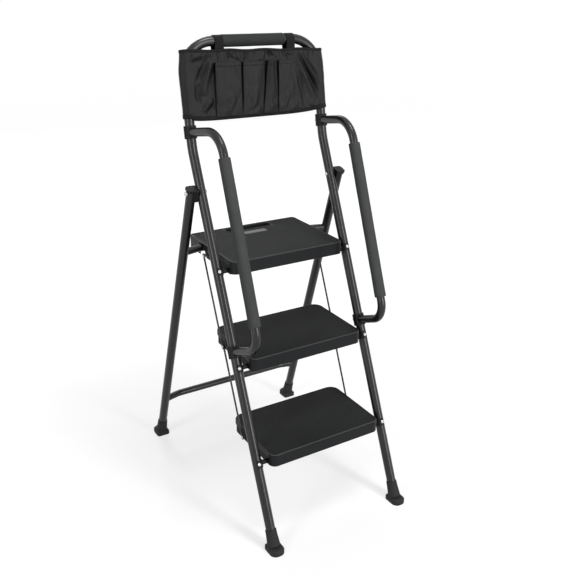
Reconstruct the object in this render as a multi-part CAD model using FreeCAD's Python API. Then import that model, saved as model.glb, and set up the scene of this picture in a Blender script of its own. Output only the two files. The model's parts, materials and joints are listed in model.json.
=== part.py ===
"""Folding three-step ladder with side handrails and a hanging tool bag, in millimetres with Z up.

The front frame stands still. The rear frame folds about the hinge bolts, and the three steps fold about
their axles, tied together by link rods. Right-hand pieces are made at +X and mirrored to the left.
"""
import FreeCAD, Part
import math
import os

V = FreeCAD.Vector
ORIGIN = V(0, 0, 0)
ALONG_X = V(1, 0, 0)
ALONG_Y = V(0, 1, 0)

# Stance
stand_depth = 651.0
upright_spacing = 396.0
front_lean = 24.0
upper_lean = 10.0
bend_height = 958.0
bend_radius = 150.0
top_bar_height = 1211.0
hoop_radius = 80.0
leg_side_gap = 3.0
leg_splay = 11.0

# Tubes
tube_diameter = 25.0
tube_wall = 1.2
handrail_diameter = 22.0
handrail_wall = 1.2
crossbar_diameter = 20.0
crossbar_wall = 1.2
tube_end_lift = 12.0

# Fits, how far a cut runs past what it cuts, and how close two sizes count as the same
seat_gap = 0.05
running_gap = 0.05
open_pivot_gap = 0.3
clear_gap = 0.3
bolt_hole_gap = 0.1
cut_margin = 1.0
same_size = 0.01

# Feet
sole_width = 40.0
sole_toe = 26.0
sole_heel = 23.5
sole_thickness = 15.0
sole_toe_corner = 17.0
sole_heel_corner = 8.0
sole_bevel = 5.0
boot_height = 56.0
boot_wall = 2.0
boot_flare = 3.0
boot_waist_height = 27.0
boot_waist_flare = 1.6

# Steps
step_pitch = 229.0
first_pivot_height = 209.0
step_side_gap = 14.5
tread_rise = 31.0
front_overhang = 30.5
lower_step_depth = 220.0
top_step_depth = 260.0
lower_rear_corner = 28.0
top_rear_corner = 12.0
front_corner = 18.0
tread_plate = 3.5
skirt_depth = 14.0
skirt_wall = 2.5
lip_depth = 35.0
lip_wall = 3.5
lip_return = 20.0
lip_end_slant = 8.0
tread_edge_radius = 2.5
tray_sheet = 1.6
tray_drop = 8.0
tray_front_drop = 1.0

# Hand slot and badge on the top step
slot_length = 142.0
slot_width = 26.0
slot_rear_bar = 16.0
slot_rim_width = 4.0
slot_rim_height = 1.2
badge_length = 70.0
badge_width = 20.0
badge_thickness = 1.2
badge_from_slot = 15.0
badge_corner = 4.0

# Tread screws
screw_diameter = 4.0
screw_head_diameter = 8.0
screw_head_height = 2.5
screw_washer_diameter = 14.0
screw_washer_thickness = 1.2
screw_boss_diameter = 9.0
screw_boss_gap = 0.2
screw_cover = 1.0
screw_spacing = 220.0
screw_front_offset = 26.0
lower_screw_pitch = 118.0
top_screw_pitch = 78.0

# Step pivots
axle_diameter = 8.0
axle_past_centre = 5.0
axle_past_tray = 5.0
bracket_wall = 1.8
bracket_height = 20.0
bracket_wrap = 6.0
bracket_boss_diameter = 12.5
bracket_boss_gap = 0.3
rivet_diameter = 5.0
rivet_head_diameter = 9.5
rivet_head_height = 2.4
rivet_tail = 7.0
retainer_diameter = 14.0
retainer_thickness = 1.5
retainer_gap = 1.2
bush_diameter = 11.0
bush_flange_diameter = 13.0
bush_flange_thickness = 1.5

# Link rods
link_pin_to_notch = 19.4
link_pin_lift = 2.0
link_pin_diameter = 6.0
link_pin_head_diameter = 10.0
link_pin_head_thickness = 2.0
link_pin_tail_diameter = 9.0
link_pin_tail_thickness = 1.2
link_spacer_diameter = 9.0
link_rod_diameter = 5.0
link_eye_radius = 6.5
link_eye_thickness = 2.5
link_neck_width = 8.0
link_neck_length = 14.0
link_rod_tuck = 3.0
link_eye_gap = 0.8
link_step_gap = 2.5
link_side_gap = 0.3

# Rear frame
lower_crossbar_height = 145.0
crossbar_bow = 13.0
crossbar_bow_run = 50.0
crossbar_bow_radius = 80.0
hinge_bolt_diameter = 8.0
hinge_head_diameter = 12.0
hinge_head_height = 5.0
hinge_washer_diameter = 14.0
hinge_washer_thickness = 1.4
hinge_washer_gap = 0.3
lid_washer_gap = 0.5
hinge_nut_diameter = 10.0
hinge_nut_height = 3.0
hinge_tail_diameter = 5.0
hinge_tail_length = 1.5
knuckle_gap = 0.5
knuckle_half_depth = 14.5
knuckle_below = 20.0
lid_overhang = 1.0
lid_half_depth = 15.5
lid_height = 5.5
lid_outer_corner = 9.0
lid_inner_corner = 2.0
lid_edge = 2.0

# Seats over the upper crossbar
clip_width = 24.0
clip_spacing = 220.0
clip_front = 9.0
clip_rear_wall = 6.0
clip_hook_depth = 8.0
clip_seat_thickness = 1.9
clip_seat_drop = 4.0
notch_gap = 1.5
notch_mouth = 16.0
notch_shoulder = 2.0
crossbar_slot_gap = 34.6

# Handrails
handrail_joint_above_bend = 40.0
handrail_joint_above_pivot = 40.0
handrail_upper_reach = 147.0
handrail_lower_reach = 128.0
handrail_upper_bend = 70.0
handrail_lower_bend = 50.0
handrail_toe_in = 3.3
saddle_wall = 3.0
saddle_boss_lift = 0.2
saddle_height = 32.0
saddle_split = 0.5
rear_saddle_wall = 4.0
rear_saddle_height = 32.0
rear_pad_diameter = 15.0
rear_pad_lift = 2.5
handrail_bolt_diameter = 6.0
handrail_bolt_head_diameter = 11.0
handrail_bolt_head_height = 6.0
handrail_bolt_collar = 5.0
end_nut_length = 18.0
bolt_in_end_nut = 14.0

# Foam grips
top_grip_strap_gap = 2.0
top_grip_diameter = 31.0
handrail_grip_diameter = 30.0
handrail_grip_top_gap = 5.0
handrail_grip_low_gap = 11.0

# Tool bag
bag_above_joint = 24.0
bag_grip_gap = 7.5
bag_cloth = 2.0
bag_ease = 1.0
pocket_low = 10.0
pocket_below_top = 28.5
pocket_depth = 14.0
pocket_cloth = 1.8
pocket_corner = 6.0
pocket_gap = 2.0
first_pocket_width = 75.0
second_pocket_width = 62.0
narrow_pocket_width = 43.0
last_pocket_width = 55.0
strap_width = 24.5
strap_bend_gap = 1.0
strap_cloth = 2.0
strap_tail = 18.0

# Worked out: the leaning planes of the frames
half_spacing = upright_spacing / 2
tube_radius = tube_diameter / 2
front_y = -stand_depth / 2
rear_y = stand_depth / 2
front_slope = math.tan(math.radians(front_lean))
upper_slope = math.tan(math.radians(upper_lean))
bend_y = front_y + bend_height * front_slope
top_bar_y = bend_y + (top_bar_height - bend_height) * upper_slope
upright_up = V(0, math.sin(math.radians(front_lean)), math.cos(math.radians(front_lean)))

# Worked out: the steps and their side gaps
pivot_heights = [first_pivot_height + index * step_pitch for index in range(3)]
half_tread = half_spacing - tube_radius - step_side_gap
half_tray = half_tread - skirt_wall - clear_gap
tray_inside = half_tray - tray_sheet
tray_top = tread_rise - tread_plate
tray_under = tray_top - tray_sheet
tray_front_corner = front_corner - skirt_wall - clear_gap
bracket_boss_end = half_tray + bush_flange_thickness + bracket_boss_gap - half_spacing
inner_link_x = half_tread + link_step_gap
outer_link_x = inner_link_x + link_eye_thickness + link_eye_gap
axle_inner_x = tray_inside - axle_past_tray
slot_y = top_step_depth - front_overhang - slot_rear_bar - slot_width / 2

# Worked out: the upper crossbar under the top step, seen from that step's pivot, and the link pins before it
crossbar_radius = crossbar_diameter / 2
upper_bar_y = slot_y - slot_width / 2 - crossbar_slot_gap
upper_bar_z = tray_under - clip_seat_thickness - crossbar_radius
link_pin_back = upper_bar_y - crossbar_radius - notch_gap - link_pin_to_notch

# Worked out: the hinge, where a straight leg from the rear foot past the upper crossbar meets the upright
top_pivot_y = front_y + pivot_heights[-1] * front_slope
upper_crossbar_height = pivot_heights[-1] + upper_bar_z
leg_slope = (rear_y - top_pivot_y - upper_bar_y + crossbar_bow) / upper_crossbar_height
hinge_height = stand_depth / (front_slope + leg_slope)
hinge_y = front_y + hinge_height * front_slope

# Worked out: the rear legs
leg_hinge = V(half_spacing + tube_diameter + leg_side_gap, hinge_y, hinge_height)
leg_foot = V(leg_hinge.x + leg_splay, rear_y, 0)
leg_run = leg_hinge - leg_foot
leg_up = V(leg_run).normalize()
leg_lean = math.degrees(math.atan2(leg_run.y, leg_run.z))
leg_above_hinge = hinge_washer_diameter / 2 + lid_washer_gap
leg_outer_x = leg_hinge.x + tube_radius + hinge_washer_gap
washer_outer_x = leg_outer_x + hinge_washer_thickness
nut_outer_x = half_spacing - tube_radius - seat_gap

# Worked out: the handrails' joints
handrail_upper_joint_height = bend_height + handrail_joint_above_bend
handrail_lower_joint_height = pivot_heights[1] + handrail_joint_above_pivot

# Worked out: the tool bag, measured along the upper part of the uprights
upper_scale = 1 / math.cos(math.radians(upper_lean))
bag_bottom_height = handrail_upper_joint_height + bag_above_joint
bag_top_height = top_bar_height - top_grip_diameter / 2 - bag_grip_gap
bag_low = (bag_bottom_height - bend_height) * upper_scale
bag_high = (bag_top_height - bend_height) * upper_scale
pocket_height = bag_high - pocket_below_top - bag_low - pocket_low
bar_up = (top_bar_height - bend_height) * upper_scale
bag_inside = tube_radius + bag_ease
bag_outside = bag_inside + bag_cloth
strap_inner_x = half_spacing - hoop_radius - strap_bend_gap - strap_width
top_grip_length = 2 * (strap_inner_x - top_grip_strap_gap)


def block(low, high):
    """A box between two corners."""
    size = high - low
    return Part.makeBox(size.x, size.y, size.z, low)


def bar(start, end, diameter):
    """A round bar between two points."""
    return Part.makeCylinder(diameter / 2, (end - start).Length, start, end - start)


def cross_bar(y, z, diameter, start, end):
    """A round bar along X at one place in the side view."""
    return bar(V(start, y, z), V(end, y, z), diameter)


def ring(start, end, outer, inner):
    """A round bar with a round hole through it."""
    return bar(start, end, outer).cut(bar(start, end, inner))


def corner_reach(before, corner, after, radius):
    """How far a tangent arc starts from the corner that it rounds."""
    angle = (before - corner).getAngle(after - corner)
    return radius / math.tan(angle / 2)


def rounded_path(points, radii):
    """A wire of straight runs whose inner corners are tangent arcs."""
    edges = []
    here = points[0]
    for index, radius in enumerate(radii, 1):
        corner = points[index]
        before = V(points[index - 1] - corner).normalize()
        after = V(points[index + 1] - corner).normalize()
        reach = corner_reach(points[index - 1], corner, points[index + 1], radius)
        half_angle = before.getAngle(after) / 2
        inward = V(before + after).normalize()
        middle = corner + inward * (radius / math.sin(half_angle) - radius)
        start = corner + before * reach
        end = corner + after * reach
        edges.append(Part.LineSegment(here, start).toShape())
        edges.append(Part.Arc(start, middle, end).toShape())
        here = end
    edges.append(Part.LineSegment(here, points[-1]).toShape())
    return Part.Wire(edges)


def swept(points, radii, diameter):
    """A solid round bar along a rounded path."""
    circle = Part.makeCircle(diameter / 2, points[0], points[1] - points[0])
    return rounded_path(points, radii).makePipeShell([Part.Wire([circle])], True, False)


def bent_tube(points, radii, diameter, wall):
    """A hollow tube along a rounded path."""
    return swept(points, radii, diameter).cut(swept(points, radii, diameter - 2 * wall))


def profile(points, low_x, high_x):
    """A side-view outline of (y, z) points pulled out along X."""
    corners = [V(low_x, y, z) for y, z in points]
    face = Part.Face(Part.makePolygon(corners + corners[:1]))
    return face.extrude(V(high_x - low_x, 0, 0))


def leaned(shape, place, lean):
    """A shape built upright at the origin, leaned backwards and carried to its place."""
    turned = shape.copy()
    turned.rotate(ORIGIN, ALONG_X, -lean)
    turned.translate(place)
    return turned


def at_handrail_joint(shape, place, lean):
    """A right-hand piece built about the upright's axis, turned to the handrail's toe-in and put in place."""
    turned = shape.copy()
    turned.rotate(ORIGIN, V(0, 0, 1), -handrail_toe_in)
    return leaned(turned, place, lean)


def mirrored(shape):
    """The same piece on the other side of the ladder."""
    return shape.mirror(ORIGIN, ALONG_X)


def both_sides(shape):
    """A right-hand piece and its left-hand twin."""
    return [shape, mirrored(shape)]


def save(name, *solids):
    """Write one node, as a single solid or as a group of separate solids."""
    shape = solids[0] if len(solids) == 1 else Part.makeCompound(list(solids))
    shape.exportStep("parts/" + name + ".step")


def save_pair(stem, shape):
    """Write a right-hand piece and its twin as two nodes."""
    save(stem + "_right", shape)
    save(stem + "_left", mirrored(shape))


def upright_place(height):
    """The point on the right upright's axis at a height below the bend."""
    return V(half_spacing, front_y + height * front_slope, height)


def upper_place(height):
    """The point on the right upright's axis at a height above the bend."""
    return V(half_spacing, bend_y + (height - bend_height) * upper_slope, height)


def leg_place(height):
    """The point on the right rear leg's axis at a height."""
    return leg_foot + leg_run * (height / leg_run.z)


def dome(start, direction, diameter, height):
    """A domed head, part of a ball, on a flat base."""
    ball_radius = (diameter ** 2 / 4 + height ** 2) / (2 * height)
    ball = Part.makeSphere(ball_radius, start + direction * (height - ball_radius), direction)
    return ball.common(bar(start, start + direction * height, 2 * diameter))


def standing_edges(shape, height):
    """The edges that run straight up the whole height of a shape."""
    return [edge for edge in shape.Edges if abs(edge.BoundBox.ZLength - height) < same_size]


def rounded_ends(shape, height, along, ends):
    """A shape whose upright corners are rounded, with a radius for each end's place along an axis."""
    for place, radius in ends:
        corners = [edge for edge in standing_edges(shape, height)
                   if abs(edge.CenterOfMass.dot(along) - place) < same_size]
        shape = shape.makeFillet(radius, corners)
    return shape


def top_edges(shape, level):
    """The edges that lie flat at the top level of a shape."""
    return [edge for edge in shape.Edges if edge.BoundBox.ZMin > level - same_size]


# Feet
def boot(floor_point, up, toe_way):
    """A rubber boot with a round-toed sole, a flared sleeve and a bore for the tube that stands in it."""
    toe_y = floor_point.y + toe_way * sole_toe
    heel_y = floor_point.y - toe_way * sole_heel
    sole = block(V(floor_point.x - sole_width / 2, min(toe_y, heel_y), 0),
                 V(floor_point.x + sole_width / 2, max(toe_y, heel_y), sole_thickness))
    sole_ends = [(toe_y, sole_toe_corner), (heel_y, sole_heel_corner)]
    sole = rounded_ends(sole, sole_thickness, ALONG_Y, sole_ends)
    sole = sole.makeChamfer(sole_bevel, top_edges(sole, sole_thickness))
    sleeve_radius = tube_radius + boot_wall
    flare_low = floor_point + up * (sole_thickness / up.z - boot_flare)
    rings = [Part.makeCircle(sleeve_radius + boot_flare, flare_low, up)]
    rings.append(Part.makeCircle(sleeve_radius + boot_waist_flare, floor_point + up * boot_waist_height, up))
    rings.append(Part.makeCircle(sleeve_radius, floor_point + up * boot_height, up))
    sleeve = Part.makeLoft([Part.Wire([circle]) for circle in rings], True)
    above_floor = block(floor_point + V(-sole_width, -2 * sole_width, 0),
                        floor_point + V(sole_width, 2 * sole_width, 2 * boot_height))
    bore = bar(floor_point + up * tube_end_lift, floor_point + up * 2 * boot_height,
               tube_diameter + 2 * seat_gap)
    return sole.fuse(sleeve).common(above_floor).cut(bore).removeSplitter()


# Front frame
def front_frame_tube():
    """Both uprights and the hoop, as one bent tube with its bolt, axle and rivet holes."""
    foot = V(half_spacing, front_y, 0) + upright_up * tube_end_lift
    bend = V(half_spacing, bend_y, bend_height)
    corner = V(half_spacing, top_bar_y, top_bar_height)
    right = [foot, bend, corner]
    left = [V(-point.x, point.y, point.z) for point in reversed(right)]
    radii = [bend_radius, hoop_radius, hoop_radius, bend_radius]
    tube = bent_tube(right + left, radii, tube_diameter, tube_wall)
    holes = [cross_bar(hinge_y, hinge_height, hinge_bolt_diameter + 2 * bolt_hole_gap,
                       half_spacing - tube_diameter, half_spacing + tube_diameter)]
    bolt_hole = bar(V(0, -tube_diameter, 0), V(0, tube_diameter, 0),
                    handrail_bolt_diameter + 2 * bolt_hole_gap)
    holes.append(at_handrail_joint(bolt_hole, upper_place(handrail_upper_joint_height), upper_lean))
    holes.append(at_handrail_joint(bolt_hole, upright_place(handrail_lower_joint_height), front_lean))
    axle_hole = bar(V(-tube_diameter, 0, 0), ORIGIN, axle_diameter + 2 * bolt_hole_gap)
    rivet_hole = bar(V(0, -tube_diameter, 0), ORIGIN, rivet_diameter + 2 * bolt_hole_gap)
    for height in pivot_heights:
        holes.append(leaned(axle_hole, upright_place(height), front_lean))
        holes.append(leaned(rivet_hole, upright_place(height), front_lean))
    for hole in holes:
        tube = tube.cut(hole).cut(mirrored(hole))
    return tube


# Step pivots on the uprights, built about the upright's axis with the step on the -X side
def pivot_bracket():
    """A curved bracket on the upright's inner side, with a long boss for the axle."""
    low = V(0, 0, -bracket_height / 2)
    high = V(0, 0, bracket_height / 2)
    inner_side = block(V(-half_spacing, -tube_diameter, -bracket_height),
                       V(bracket_wrap, tube_diameter, bracket_height))
    body = bar(low, high, tube_diameter + 2 * bracket_wall).common(inner_side)
    body = body.fuse(bar(ORIGIN, V(bracket_boss_end, 0, 0), bracket_boss_diameter))
    body = body.cut(bar(low, high, tube_diameter + 2 * seat_gap))
    body = body.cut(bar(ORIGIN, V(bracket_boss_end, 0, 0), axle_diameter + 2 * bolt_hole_gap))
    return body.cut(bar(ORIGIN, V(0, -tube_diameter, 0), rivet_diameter + 2 * bolt_hole_gap))


def axle():
    """A short axle from the upright's middle through the tray's side, with a cross hole for its rivet."""
    start = V(axle_past_centre, 0, 0)
    end = V(axle_inner_x - half_spacing, 0, 0)
    cross = bar(V(0, -tube_diameter, 0), V(0, tube_diameter, 0), rivet_diameter + 2 * bolt_hole_gap)
    return bar(start, end, axle_diameter).cut(cross)


def axle_rivet():
    """The rivet that pins the axle from the front of the bracket."""
    seat = V(0, -tube_radius - bracket_wall, 0)
    head = dome(seat, V(0, -1, 0), rivet_head_diameter, rivet_head_height)
    return bar(V(0, rivet_tail, 0), seat, rivet_diameter).fuse(head).removeSplitter()


def axle_retainer():
    """A push-on ring near the axle's inner end."""
    outer_x = tray_inside - retainer_gap - half_spacing
    start = V(outer_x, 0, 0)
    end = V(outer_x - retainer_thickness, 0, 0)
    return ring(start, end, retainer_diameter, axle_diameter)


# Steps, built about their pivot axis with Y towards the rear
def rounded_plate(half_width, front, rear, front_radius, rear_radius, low, high):
    """A flat plate with rounded front and rear corners."""
    plate = block(V(-half_width, front, low), V(half_width, rear, high))
    return rounded_ends(plate, high - low, ALONG_Y, [(front, front_radius), (rear, rear_radius)])


def tread(depth, rear_radius, deep_from):
    """A moulded plate with a skirt, a deeper lip round the front corners and a deeper wall at the rear."""
    front = -front_overhang
    rear = depth - front_overhang
    skirt_low = tread_rise - skirt_depth
    lip_low = tread_rise - lip_depth
    body = rounded_plate(half_tread, front, rear, front_corner, rear_radius, lip_low, tread_rise)
    body = body.makeFillet(tread_edge_radius, top_edges(body, tread_rise))
    inside = rounded_plate(half_tread - skirt_wall, front + lip_wall, rear - skirt_wall,
                           front_corner - skirt_wall, rear_radius - skirt_wall,
                           lip_low - cut_margin, tray_top)
    lip_end = front + lip_return
    low = lip_low - cut_margin
    behind_lip = [(lip_end - lip_end_slant, low), (lip_end, skirt_low)]
    before_wall = [(deep_from, skirt_low), (deep_from, low)]
    below_skirt = profile(behind_lip + before_wall, -half_tread - cut_margin, half_tread + cut_margin)
    return body.cut(inside).cut(below_skirt).removeSplitter()


def step_tray(depth, rear_radius):
    """A pressed steel tray under the tread, with flanges down all four sides."""
    front = -front_overhang + lip_wall + clear_gap
    rear = depth - front_overhang - skirt_wall - clear_gap
    corner = rear_radius - skirt_wall - clear_gap
    tray = rounded_plate(half_tray, front, rear, tray_front_corner, corner, -tray_drop, tray_top)
    inside_low = -tray_drop - cut_margin
    inside = rounded_plate(tray_inside, front + tray_sheet, rear - tray_sheet, tray_front_corner - tray_sheet,
                           corner - tray_sheet, inside_low, tray_under)
    front_cut = block(V(-half_tread, front - cut_margin, inside_low),
                      V(half_tread, front + tray_front_corner, -tray_front_drop))
    tray = tray.cut(inside).cut(front_cut)
    tray = tray.cut(cross_bar(0, 0, bush_diameter + 2 * seat_gap, -half_tread, half_tread))
    pin_hole = cross_bar(link_pin_back, link_pin_lift, link_pin_diameter, -half_tread, half_tread)
    return tray.cut(pin_hole)


def step_bush():
    """A flanged bush in the tray's right-hand side."""
    inner = V(tray_inside, 0, 0)
    outer = V(half_tray, 0, 0)
    flange_end = V(half_tray + bush_flange_thickness, 0, 0)
    body = bar(inner, outer, bush_diameter).fuse(bar(outer, flange_end, bush_flange_diameter))
    return body.cut(bar(inner, flange_end, axle_diameter + 2 * running_gap)).removeSplitter()


def link_pin(first_eye_x, last_eye_x):
    """A headed pin on the tray's right-hand side that carries the link eyes between two places."""
    y = link_pin_back
    z = link_pin_lift
    head_x = last_eye_x + link_eye_thickness + link_side_gap
    tail_x = tray_inside - link_pin_tail_thickness
    pin = cross_bar(y, z, link_pin_diameter, tail_x, head_x)
    pin = pin.fuse(cross_bar(y, z, link_pin_tail_diameter, tail_x, tray_inside))
    pin = pin.fuse(cross_bar(y, z, link_spacer_diameter, half_tray, first_eye_x - link_side_gap))
    head = dome(V(head_x, y, z), ALONG_X, link_pin_head_diameter, link_pin_head_thickness)
    return pin.fuse(head).removeSplitter()


def screw_places(pitch):
    """Where the four tread screws stand, as (x, y)."""
    rows = [screw_front_offset, screw_front_offset + pitch]
    return [(x, y) for x in (-screw_spacing / 2, screw_spacing / 2) for y in rows]


def screw_bosses(tread_shape, tray_shape, pitch):
    """The tread with bosses and bores for its screws, and the tray with holes round the bosses."""
    for x, y in screw_places(pitch):
        boss = bar(V(x, y, tray_top), V(x, y, tray_under), screw_boss_diameter)
        bore = bar(V(x, y, tray_under), V(x, y, tread_rise - screw_cover), screw_diameter)
        hole = bar(V(x, y, tray_top), V(x, y, tray_under), screw_boss_diameter + 2 * screw_boss_gap)
        tread_shape = tread_shape.fuse(boss).cut(bore)
        tray_shape = tray_shape.cut(hole)
    return tread_shape.removeSplitter(), tray_shape


def tread_screw(x, y):
    """A washer-head screw driven up into the tread."""
    washer_low = tray_under - screw_washer_thickness
    shank = bar(V(x, y, tread_rise - screw_cover), V(x, y, washer_low), screw_diameter)
    washer = bar(V(x, y, tray_under), V(x, y, washer_low), screw_washer_diameter)
    head = dome(V(x, y, washer_low), V(0, 0, -1), screw_head_diameter, screw_head_height)
    return shank.fuse(washer).fuse(head).removeSplitter()


def long_hole(length, width, y, low, high):
    """A round-ended slot shape along X."""
    straight = (length - width) / 2
    shape = block(V(-straight, y - width / 2, low), V(straight, y + width / 2, high))
    for x in (-straight, straight):
        shape = shape.fuse(bar(V(x, y, low), V(x, y, high), width))
    return shape.removeSplitter()


# The upper crossbar's place under the top step
def crossbar_notch():
    """The opening in the top step's sides through which the crossbar leaves downwards and forwards."""
    front = upper_bar_y - crossbar_radius - notch_gap
    rear = upper_bar_y + crossbar_radius + notch_gap
    low = -tray_drop - cut_margin
    outline = [(front, tray_under), (front, upper_bar_z + notch_shoulder), (front - notch_mouth, low)]
    outline += [(rear, low), (rear, tray_under)]
    return profile(outline, -half_tread - cut_margin, half_tread + cut_margin)


def crossbar_clip():
    """A seat under the tray that rests on the crossbar and hooks behind it."""
    rear_face = upper_bar_y + crossbar_radius + clear_gap
    body = block(V(-clip_width / 2, upper_bar_y - clip_front, upper_bar_z - clip_hook_depth),
                 V(clip_width / 2, rear_face + clip_rear_wall, tray_under))
    seat = cross_bar(upper_bar_y, upper_bar_z, crossbar_diameter + 2 * clear_gap, -clip_width, clip_width)
    way_out = block(V(-clip_width, upper_bar_y - 2 * clip_front, upper_bar_z - 2 * clip_hook_depth),
                    V(clip_width, rear_face, upper_bar_z + clip_seat_drop))
    clip = body.cut(seat).cut(way_out)
    clip.translate(V(clip_spacing / 2, 0, 0))
    return clip


def top_step():
    """The top tread and tray, with the hand slot, its rim and the crossbar's notches."""
    behind_bar = upper_bar_y + crossbar_radius + notch_gap
    tread_shape, tray_shape = screw_bosses(tread(top_step_depth, top_rear_corner, behind_bar),
                                           step_tray(top_step_depth, top_rear_corner), top_screw_pitch)
    rim_top = tread_rise + slot_rim_height
    rim = long_hole(slot_length + 2 * slot_rim_width, slot_width + 2 * slot_rim_width, slot_y,
                    tray_top, rim_top)
    slot = long_hole(slot_length, slot_width, slot_y, tray_top - cut_margin, rim_top + cut_margin)
    tray_slot = long_hole(slot_length + 2 * clear_gap, slot_width + 2 * clear_gap, slot_y,
                          tray_under - cut_margin, tray_top + cut_margin)
    notch = crossbar_notch()
    tread_shape = tread_shape.fuse(rim).cut(slot).cut(notch)
    return tread_shape.removeSplitter(), tray_shape.cut(tray_slot).cut(notch)


def badge_plate():
    """A bare plate in front of the hand slot."""
    rear = slot_y - slot_width / 2 - slot_rim_width - badge_from_slot
    plate = block(V(-badge_length / 2, rear - badge_width, tread_rise),
                  V(badge_length / 2, rear, tread_rise + badge_thickness))
    return plate.makeFillet(badge_corner, standing_edges(plate, badge_thickness))


# Link rods, right-hand side
def link_rod(low_point, high_point, inner_x, low_gap, high_gap):
    """A thin rod with flattened eyes that fit the link pins with the given radial gaps."""
    up = V(high_point - low_point).normalize()
    middle_x = inner_x + link_eye_thickness / 2
    low = V(middle_x, low_point.y, low_point.z)
    high = V(middle_x, high_point.y, high_point.z)
    tuck = up * (link_neck_length - link_rod_tuck)
    rod = bar(low + tuck, high - tuck, link_rod_diameter)
    lean = math.degrees(math.atan2(up.y, up.z))
    neck = block(V(-link_eye_thickness / 2, -link_neck_width / 2, 0),
                 V(link_eye_thickness / 2, link_neck_width / 2, link_neck_length))
    for centre, turn in ((low, lean), (high, lean + 180)):
        eye = cross_bar(centre.y, centre.z, 2 * link_eye_radius, inner_x, inner_x + link_eye_thickness)
        rod = rod.fuse(eye).fuse(leaned(neck, centre, turn))
    for centre, gap in ((low, low_gap), (high, high_gap)):
        rod = rod.cut(cross_bar(centre.y, centre.z, link_pin_diameter + 2 * gap, 0, 2 * inner_x))
    return rod.removeSplitter()


# Rear frame, right-hand pieces
def rear_leg():
    """A straight leg tube with its hinge hole."""
    start = leg_foot + leg_up * tube_end_lift
    end = leg_hinge + leg_up * leg_above_hinge
    tube = ring(start, end, tube_diameter, tube_diameter - 2 * tube_wall)
    hole = cross_bar(hinge_y, hinge_height, hinge_bolt_diameter + 2 * running_gap,
                     leg_hinge.x - tube_diameter, leg_hinge.x + tube_diameter)
    return tube.cut(hole)


def rear_crossbar(height):
    """A tube between the legs, bowed to the rear, with its ends shaped to the legs."""
    leg = leg_place(height)
    inner_x = leg.x - crossbar_bow_run
    right = [leg, V(inner_x, leg.y + crossbar_bow, height)]
    left = [V(-point.x, point.y, point.z) for point in reversed(right)]
    radii = [crossbar_bow_radius, crossbar_bow_radius]
    tube = bent_tube(right + left, radii, crossbar_diameter, crossbar_wall)
    leg_core = bar(leg_foot, leg_hinge, tube_diameter)
    return tube.cut(leg_core).cut(mirrored(leg_core))


def leg_cap():
    """A knuckle beside the upright with a lid over the leg's end."""
    inner_x = half_spacing + tube_radius + knuckle_gap - leg_hinge.x
    lid_low = leg_above_hinge
    body = block(V(inner_x, -knuckle_half_depth, -knuckle_below), V(0, knuckle_half_depth, lid_low))
    outer_x = tube_radius + lid_overhang
    lid = block(V(inner_x, -lid_half_depth, lid_low), V(outer_x, lid_half_depth, lid_low + lid_height))
    lid = rounded_ends(lid, lid_height, ALONG_X, [(inner_x, lid_inner_corner), (outer_x, lid_outer_corner)])
    lid = lid.makeFillet(lid_edge, top_edges(lid, lid_low + lid_height))
    cap = leaned(body.fuse(lid), leg_hinge, leg_lean)
    leg_end = leg_hinge + leg_up * (leg_above_hinge + seat_gap)
    cap = cap.cut(bar(leg_foot, leg_end, tube_diameter + 2 * seat_gap))
    hole = cross_bar(hinge_y, hinge_height, hinge_bolt_diameter + 2 * running_gap, 0, 2 * leg_hinge.x)
    return cap.cut(hole).removeSplitter()


# Hinge hardware, right-hand side
def hinge_bolt():
    """A domed bolt from outside the leg, with a thin tail for the cap inside the upright."""
    shank = cross_bar(hinge_y, hinge_height, hinge_bolt_diameter, nut_outer_x, washer_outer_x)
    tail = cross_bar(hinge_y, hinge_height, hinge_tail_diameter, nut_outer_x - hinge_tail_length, nut_outer_x)
    head = dome(V(washer_outer_x, hinge_y, hinge_height), ALONG_X, hinge_head_diameter, hinge_head_height)
    return shank.fuse(tail).fuse(head).removeSplitter()


def hinge_washer():
    """A flat washer under the bolt's head."""
    start = V(leg_outer_x, hinge_y, hinge_height)
    end = V(washer_outer_x, hinge_y, hinge_height)
    return ring(start, end, hinge_washer_diameter, hinge_bolt_diameter)


def hinge_nut():
    """A low domed cap nut on the inner side of the upright."""
    face = V(nut_outer_x, hinge_y, hinge_height)
    cap = dome(face, -ALONG_X, hinge_nut_diameter, hinge_nut_height)
    bore_end = nut_outer_x - hinge_tail_length
    return cap.cut(cross_bar(hinge_y, hinge_height, hinge_tail_diameter, bore_end, half_spacing))


# Handrails: joints are built about the upright's axis with the arm towards -Y
saddle_radius = tube_radius + saddle_wall
arm_seat = saddle_radius + saddle_boss_lift
rear_saddle_radius = tube_radius + rear_saddle_wall
rear_pad_face = rear_saddle_radius + rear_pad_lift


def front_saddle():
    """A curved seat on the upright's front with a flat boss for the handrail's end."""
    low = V(0, 0, -saddle_height / 2)
    high = V(0, 0, saddle_height / 2)
    front_half = block(V(-tube_diameter, -2 * tube_diameter, -saddle_height),
                       V(tube_diameter, -saddle_split, saddle_height))
    boss_face = V(0, -arm_seat, 0)
    boss = bar(ORIGIN, boss_face, handrail_diameter)
    body = bar(low, high, 2 * saddle_radius).fuse(boss).common(front_half)
    body = body.cut(bar(low, high, tube_diameter + 2 * seat_gap))
    hole = bar(ORIGIN, boss_face, handrail_bolt_diameter + 2 * bolt_hole_gap)
    return body.cut(hole).removeSplitter()


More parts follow.
